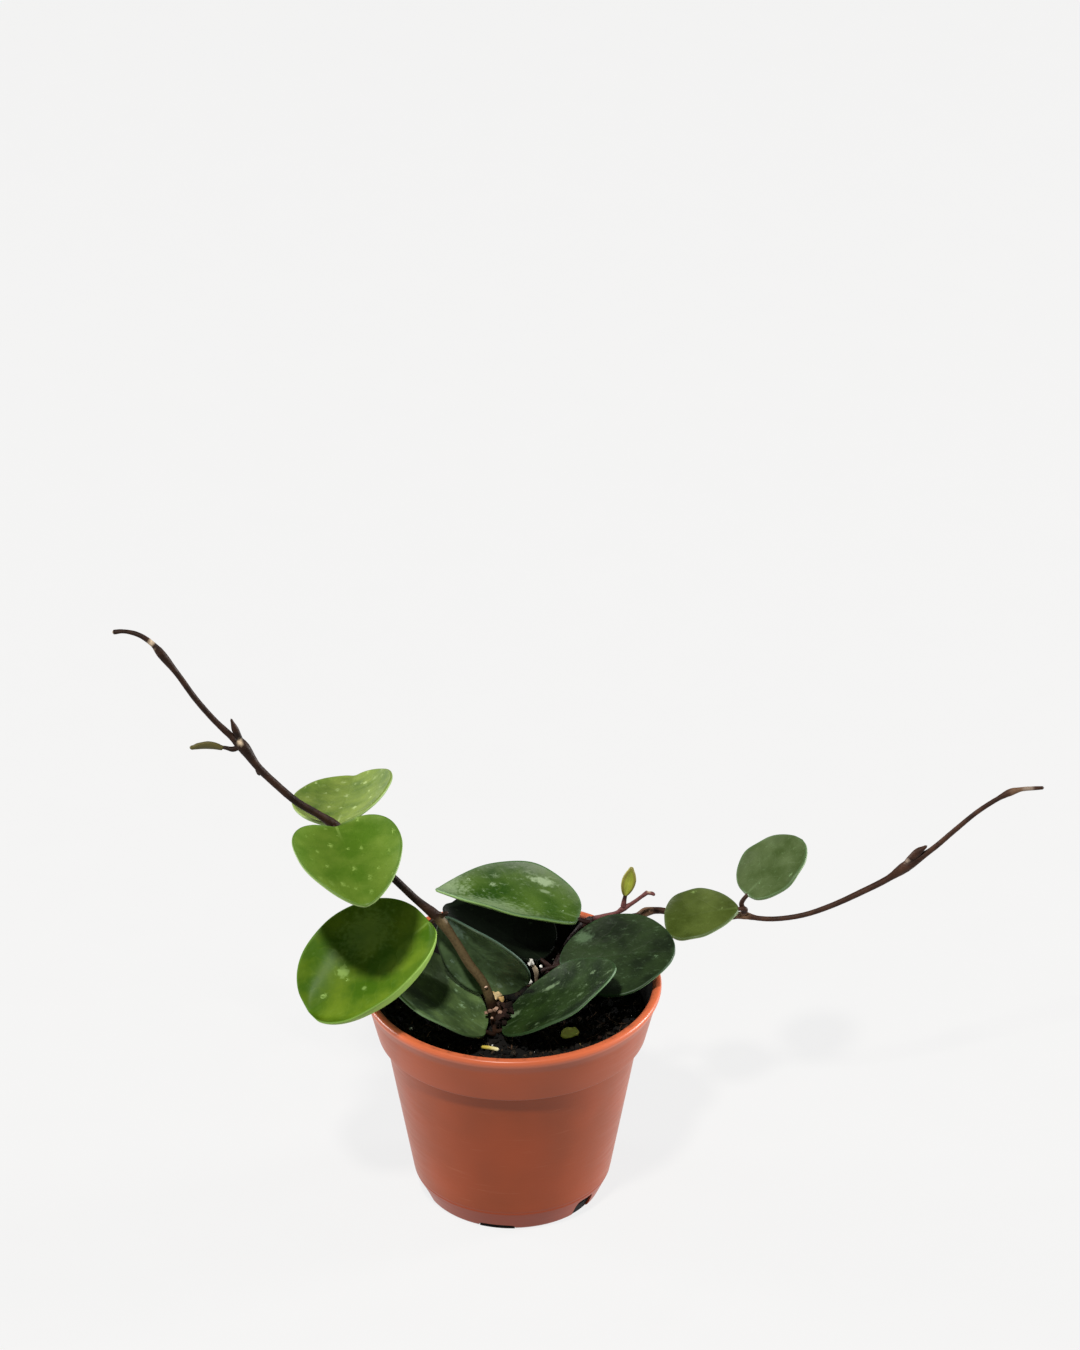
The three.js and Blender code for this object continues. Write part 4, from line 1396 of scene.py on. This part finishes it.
@dataclass
class Stem:
    """A round stem through stations (x, y, z, radius)."""

    stations: tuple[Station, ...]
    sides: int = 18
    steps: int = 8
    wrinkle: float = 0.05

    def line(self) -> tuple[np.ndarray, np.ndarray, np.ndarray]:
        """Centripetal Catmull-Rom curve through the stations.

        Over a span from P1 to P2, with knots set apart by the square roots of the distances, the
        curve is P1 + c1 w + c2 w^2 + c3 w^3, and the radius eases from one station to the next.

        Returns:
            (n, 3) places, (n, 3) directions and (n,) radii.
        """
        rows = np.array(self.stations, float)
        points = rows[:, :3]
        padded = np.concatenate([[2 * points[0] - points[1]], points, [2 * points[-1] - points[-2]]])
        knots = np.sqrt(np.linalg.norm(np.diff(padded, axis=0), axis=1))[:, None]
        p0, p1, p2, p3 = padded[:-3], padded[1:-2], padded[2:-1], padded[3:]
        d0, d1, d2 = knots[:-2], knots[1:-1], knots[2:]
        t1 = ((p1 - p0) / d0 - (p2 - p0) / (d0 + d1) + (p2 - p1) / d1) * d1
        t2 = ((p2 - p1) / d1 - (p3 - p1) / (d1 + d2) + (p3 - p2) / d2) * d1
        c2, c3 = -3 * p1 + 3 * p2 - 2 * t1 - t2, 2 * p1 - 2 * p2 + t1 + t2
        w = (np.arange(self.steps) / self.steps)[None, :, None]
        place = p1[:, None] + t1[:, None] * w + c2[:, None] * w**2 + c3[:, None] * w**3
        run = t1[:, None] + 2 * c2[:, None] * w + 3 * c3[:, None] * w**2
        part = smoothstep(w[0, :, 0], 0, 1)
        radius = rows[:-1, 3:] + (rows[1:, 3:] - rows[:-1, 3:]) * part
        place = np.concatenate([place.reshape(-1, 3), points[-1:]])
        run = np.concatenate([run.reshape(-1, 3), t2[-1:]])
        return place, unit(run), np.append(radius.ravel(), rows[-1, 3])

    def rings(self) -> tuple[np.ndarray, np.ndarray]:
        """Rings round the curve, with round ends and shallow wrinkles.

        Returns:
            (rows, sides, 3) places and (rows,) millimetres along the stem.
        """
        place, run, radius = self.line()
        along = np.concatenate([[0], np.cumsum(np.linalg.norm(np.diff(place, axis=0), axis=1))])
        least = np.eye(3)[np.argmin(np.abs(run).max(0))]
        side = unit(least - (run @ least)[:, None] * run)
        other = np.cross(run, side)
        from_end = np.minimum(along, along[-1] - along)
        turn = circle(self.sides)
        ripple = np.sin(along * 2.1)[:, None] * np.sin(2 * turn + 1)
        ripple = ripple + np.sin(along * 4.3 + 1)[:, None] * np.cos(3 * turn)
        body = radius * np.maximum(rounding(from_end, radius * 0.9), 0.12)
        body = body[:, None] * (1 - self.wrinkle * (0.5 + 0.25 * ripple))
        ring = side[:, None] * np.cos(turn)[None, :, None] + other[:, None] * np.sin(turn)[None, :, None]
        return place[:, None] + ring * body[..., None], along


@dataclass
class Vine:
    """One rooted cutting: its stem, side stems, buds and leaf stalks in one piece.

    `lit` are places (x, y, z, reach) where the bark is painted lighter, as painted light, and `corky` places
    where it is ringed with pale cork.
    """

    name: str
    slot: str
    finish: YoungBark
    stems: tuple[Stem, ...]
    buds: tuple[Stem, ...]
    blades: tuple[str, ...]
    lit: tuple[Station, ...] = ()
    corky: tuple[Station, ...] = ()

    @staticmethod
    def near(points: np.ndarray, spots: tuple[Station, ...]) -> np.ndarray:
        """How close points lie to any of the spots: 1 at a spot, 0 from its reach on.

        Args:
            points: (..., 3) places.
            spots: place and reach of each spot.

        Returns:
            One number for each point.
        """
        closeness = np.zeros(points.shape[:-1])
        for x, y, z, reach in spots:
            away = np.linalg.norm(points - np.array([x, y, z]), axis=-1)
            closeness = np.maximum(closeness, 1 - smoothstep(away, 0.55 * reach, reach))
        return closeness

    def build(self) -> None:
        """Make all the stems as one mesh and dress it."""
        shell = Shell()
        stalks = tuple(b.petiole() for b in BLADES if b.name in self.blades and b.stalk)
        for stem in self.stems + self.buds + stalks:
            rings, _ = stem.rings()
            shell.add_rings(rings, light=self.near(rings, self.lit), pale=self.near(rings, self.corky))
        piece = shell.build(f"stem_{self.name}", self.finish.material())
        hand_over(piece, self.slot, self.name)


LEFT_VINE = Vine(
    "left_vine", "stem",
    YoungBark("left", "#170b05", "#2c1a10", "#5a4c34"),
    stems=(
        Stem((
            (-3.2, -6.2, 34.3, 0.95), (-3.2, -6.2, 41, 0.95), (-3.6, -6.2, 44.5, 1.1),
            (-5.6, -6, 51.2, 0.95), (-8.4, -5.6, 55.5, 0.95), (-11.3, -5.2, 60.9, 0.9),
            (-14.6, -5, 66, 1.15), (-19, -4.5, 70.1, 0.8), (-23, -4, 74.3, 0.8), (-29, -3, 80.1, 0.8),
            (-34.8, -2.6, 86, 1.05), (-38.1, -2.9, 88.8, 0.78), (-42.2, -3, 91.7, 0.78),
            (-46.4, -2.5, 95.6, 0.78), (-49.8, -2, 99.2, 0.8), (-52.8, -1, 103.4, 1.25),
            (-55.2, -0.4, 105.5, 0.7), (-58.3, 0.2, 108.6, 0.62), (-61.9, 1, 113, 0.62),
            (-65.2, 2, 117.8, 0.62), (-68.3, 2.6, 122, 0.9), (-70.1, 3, 124.2, 0.55),
            (-72.7, 3.5, 125.9, 0.5), (-75.6, 4, 126.4, 0.42), (-77.9, 4, 126.2, 0.5),
        )),
    ),
    buds=(
        Stem(((-52.8, -1, 103.8, 0.6), (-54, -1, 106.8, 0.75), (-54.9, -1, 109.6, 0.25)), 12),
        Stem((
            (-53.4, -1, 103.2, 0.6), (-54.6, -1, 102.6, 0.55), (-56, -1, 102.9, 0.4),
            (-57.2, -1, 103.15, 0.28),
        ), 12),
        Stem(((-50, -2, 98.9, 0.5), (-49.6, -2.1, 97.9, 0.5), (-49.4, -2.2, 97.3, 0.3)), 12),
        Stem(((-14.2, -5.4, 66.4, 0.5), (-13.2, -5.6, 67.4, 0.45), (-12.5, -5.6, 67.7, 0.25)), 12),
        Stem((
            (-3.3, -6, 43.2, 0.8), (-2.5, -4.9, 42.8, 1.1), (-2.5, -4.3, 44.4, 1.2), (-2.8, -4.1, 46, 1.1),
        ), 16),
    ),
    blades=(
        "leaf_upper_back", "leaf_upper_front", "leaf_cupped", "leaf_hanging", "leaf_low_left",
        "leaf_low_right",
    ),
    lit=((-5.9, -6, 51, 4.5), (-8.8, -5.5, 56, 5), (-11.5, -5.2, 61, 5), (-13.5, -5, 64.5, 3)),
    corky=(
        (-70.4, 3.1, 124.4, 1.0), (-77.9, 4, 126.2, 0.5), (-69.4, 2.8, 123.3, 0.7), (-53.2, -1.9, 104.7, 0.8),
    ),
)

BACK_VINE = Vine(
    "back_vine", "stem_back",
    YoungBark("back", "#1a0d0a", "#2c1916", "#6a4140"),
    stems=(
        Stem((
            (8.5, 9.8, 34.3, 0.85), (8.5, 9.8, 41.2, 0.85), (8.7, 10.8, 43.8, 0.85), (10.4, 13.8, 46.4, 0.8),
            (13.2, 16, 49.6, 0.8), (15.6, 16, 52.4, 1.05),
        )),
        Stem((
            (15.6, 16, 52.4, 0.6), (18.4, 15.8, 53.4, 0.45), (21, 15.2, 54.5, 0.45), (22.4, 15, 55.7, 0.65),
            (24, 15, 56.8, 0.42), (25.8, 15, 58.3, 0.4), (27.4, 15, 59.7, 0.5),
        ), 14),
    ),
    buds=(Stem(((27, 15, 59.3, 0.35), (28.1, 14.9, 59.3, 0.4), (28.7, 14.8, 58.9, 0.3)), 12),),
    blades=("leaf_shaded", "leaf_right", "leaf_top", "young_leaf_shoot"),
    lit=((18.8, 15.7, 53.6, 3), (22.4, 15, 55.7, 3), (25, 15, 57.6, 2.4), (27.4, 15, 59.6, 3)),
    corky=((27.6, 15, 59.9, 0.5),),
)

RIGHT_VINE = Vine(
    "right_vine", "stem_right",
    YoungBark("right", "#281710", "#40291d", "#664d3a", "#857568"),
    stems=(
        Stem((
            (16.2, 14.8, 34.3, 0.75), (16.2, 14.8, 41.6, 0.75), (17.2, 16.6, 45.2, 0.75),
            (19.2, 18.3, 48.4, 0.75), (21.4, 18.5, 50.7, 0.7), (25.4, 18.4, 51.6, 0.9),
            (26.8, 18.6, 52.5, 1.0), (29, 19, 52.7, 0.72), (31.4, 19.2, 52.3, 0.66), (36, 19, 51, 0.5),
            (41, 18, 51.3, 0.5), (44.9, 16.5, 52.8, 0.55), (46.4, 15.6, 53.7, 0.85),
            (49.5, 15.1, 53.3, 0.52), (53, 15, 53.2, 0.52), (58.5, 15, 54.1, 0.54),
            (64.1, 15, 56.3, 0.58), (70.8, 15.5, 59.6, 0.65), (75.3, 16, 62, 0.68),
            (79, 16.4, 64.7, 1.15), (84.2, 17, 68.4, 0.58), (88.6, 17.5, 72.5, 0.54),
            (93, 18, 76.5, 0.5), (96.9, 18.5, 79.2, 0.5), (99.7, 19, 80.6, 0.75),
            (102, 19, 81.3, 0.45), (104.2, 19, 81.5, 0.42), (106.4, 19.4, 81.4, 0.35),
        )),
    ),
    buds=(Stem(((79, 16.4, 65.2, 0.8), (81.2, 16.5, 67.9, 0.85), (83.2, 16.5, 69.6, 0.3)), 12),),
    blades=("leaf_runner_low", "leaf_runner_high"),
    lit=((101.5, 19, 81.1, 2.6), (46.4, 15.6, 53.7, 2), (26.8, 18.5, 53.2, 2)),
    corky=((103.2, 19, 81.4, 1.5), (79.2, 15.8, 66.4, 0.7)),
)


# What lies on the soil

# The dead stalk that stands behind the front cutting.
OLD_STALK = Stem((
    (5.0, 8.0, 39.6, 0.4), (4.9, 8.0, 43.2, 0.38), (4.8, 8.0, 45.2, 0.55), (4.0, 7.9, 46.9, 0.35),
), 12)


@dataclass
class Litter:
    """Bits on the soil: callus, husks, bark chips, perlite, an old stalk, a dry stick, a fallen leaf bit."""

    mix: PottingMix
    camera: PhotoCamera
    level: float = 41.0
    # Where bits show: pixel across, pixel down, half size, and the height of what carries them.
    callus_seen: tuple[Station, ...] = (
        (493, 994, 0.7, 46.9), (497, 997, 0.9, 46.8), (501, 1000, 0.8, 46.3), (502, 994, 0.5, 46.8),
        (494, 1000, 0.45, 46.6), (580, 1043, 0.4, 41.0),
    )
    husk_seen: tuple[Station, ...] = (
        (486, 1014, 0.55, 44.8), (490, 1012, 0.6, 45.2), (495, 1010, 0.65, 45.5), (500, 1013, 0.5, 45.0),
        (492, 1019, 0.4, 44.1), (486, 988, 0.4, 50.9), (488, 1043, 0.3, 41.0), (474, 985, 0.3, 41.0),
    )
    chips_seen: tuple[Station, ...] = (
        (503, 1007, 1.0, 45.5), (508, 1008, 1.0, 45.2), (511, 1012, 0.8, 44.6), (504, 1013, 0.9, 44.8),
        (500, 1019, 1.0, 44.2), (507, 1018, 0.9, 44.2), (498, 1024, 0.8, 43.4), (504, 1024, 0.7, 43.3),
        (548, 985, 0.7, 41.0), (470, 1046, 0.6, 41.0), (600, 1036, 0.6, 41.0),
    )
    caught_seen: tuple[Station, ...] = (
        (531, 964, 0.75, 47.2), (530, 983, 0.6, 42.8), (541, 967, 0.4, 45.6), (533, 986, 0.3, 42.4),
    )
    callus: LooseMatter = LooseMatter(
        "root_callus", ("#8a6a44", "#bb9c66", "#dcc596"), depth=0.08, roughness=0.7
    )
    husk: LooseMatter = LooseMatter("pale_husk", ("#6a4e40", "#9c7c6a", "#c8ac98"), depth=0.1, roughness=0.7)
    chip: LooseMatter = LooseMatter("bark_chip", ("#0e0705", "#1e100c", "#33201a"), pit=0.5, depth=0.35)
    stick_finish: LooseMatter = LooseMatter(
        "dry_stick", ("#8c7a2a", "#b5a244", "#d8cfa6"), depth=0.05, roughness=0.7
    )
    stalk_finish: LooseMatter = LooseMatter(
        "dead_stalk", ("#1c140e", "#5e5040", "#b3a38a"), depth=0.1, roughness=0.8
    )
    stick_seen: tuple[tuple[float, float], tuple[float, float]] = ((481, 1048), (499, 1051))
    # What is seen above this height is carried by something other than the soil.
    raised: float = 41.5

    def build(self) -> None:
        """Make the bits, each lying on the soil."""
        rng = np.random.default_rng(SEED + 2)
        for name, finish, seen in (
            ("root_callus", self.callus, self.callus_seen), ("pale_husks", self.husk, self.husk_seen),
            ("bark_chips", self.chip, self.chips_seen),
            ("caught_perlite", self.mix.perlite_finish, self.caught_seen),
        ):
            rows = np.array(seen)
            places = self.camera.on_level(rows[:, :2], rows[:, 3])
            tones = rng.uniform(0.2, 0.9, len(rows))
            least = np.where(rows[:, 3] > self.raised, rows[:, 3], 0)
            bits = self.mix.grains(name, finish, places, rows[:, 2], tones, rng, sink=0.1, least=least)
            hand_over(bits, "soil")
        self.twig("old_stalk", OLD_STALK, self.stalk_finish, 0.0, 0.9)
        ends = self.camera.on_level(np.array(self.stick_seen, float), self.level)
        middle = ends.mean(0)
        height = float(self.mix.height(middle[:1], middle[1:])[0]) + 0.75
        stick = Stem(((*ends[0], height, 0.36), (*middle, height + 0.1, 0.42), (*ends[1], height, 0.4)), 12)
        self.twig("dry_stick", stick, self.stick_finish, 0.2, 0.8)
        self.fallen_bit()

    @staticmethod
    def twig(name: str, stem: Stem, finish: LooseMatter, tone: float, change: float) -> None:
        """A dead stick or stalk whose tone changes from its first end to its last.

        Args:
            name: the piece's name.
            stem: its form.
            finish: its finish.
            tone: the tone at its first end, from 0 to 1.
            change: how much that changes up to its last end.
        """
        rings, along = stem.rings()
        shell = Shell()
        shell.add_rings(rings, grain=np.repeat((tone + change * along / along[-1])[:, None], stem.sides, 1))
        hand_over(shell.build(name, finish.material()), "soil")

    def fallen_bit(self) -> None:
        """A curled yellow-green piece of an old leaf."""
        x, y = self.camera.on_level(np.array([[561.0, 1037.0]]), self.level)[0]
        ground = float(self.mix.height(np.array([x]), np.array([y]))[0])
        bit = Blade(
            "fallen_bit", "young_leaf", LeafTone.YOUNG, (x, y, ground), (x, y, ground + 0.7),
            20, 14, 20, 3.9, 2.9, 42, 0.5, 0.5, 0.6, droop=20, flutter=0.25, thickness=0.4, edge=0.3,
            rows=30, columns=48,
        )
        # Pale, bright tones: partly the bit's own yellow-green, partly painted light that lifts the shadow of
        # leaf_low_right on it.
        finish = LooseMatter("fallen_leaf_bit", ("#a8b424", "#dfe44c", "#f6f290"), depth=0.04, roughness=0.6)
        hand_over(bit.piece("fallen_leaf_bit", finish.material(), dry=True), "soil")


def main() -> None:
    """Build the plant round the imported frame."""
    logging.basicConfig(level=logging.INFO, format="%(message)s")
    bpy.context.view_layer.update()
    camera = PhotoCamera()
    camera.build()
    Studio().build()
    pot = NurseryPot()
    pot.build()
    mix = PottingMix(pot, camera)
    mix.build()
    Litter(mix, camera).build()
    for vine in (LEFT_VINE, BACK_VINE, RIGHT_VINE):
        vine.build()
    for blade in BLADES:
        blade.build()


if __name__ == "__main__":
    main()
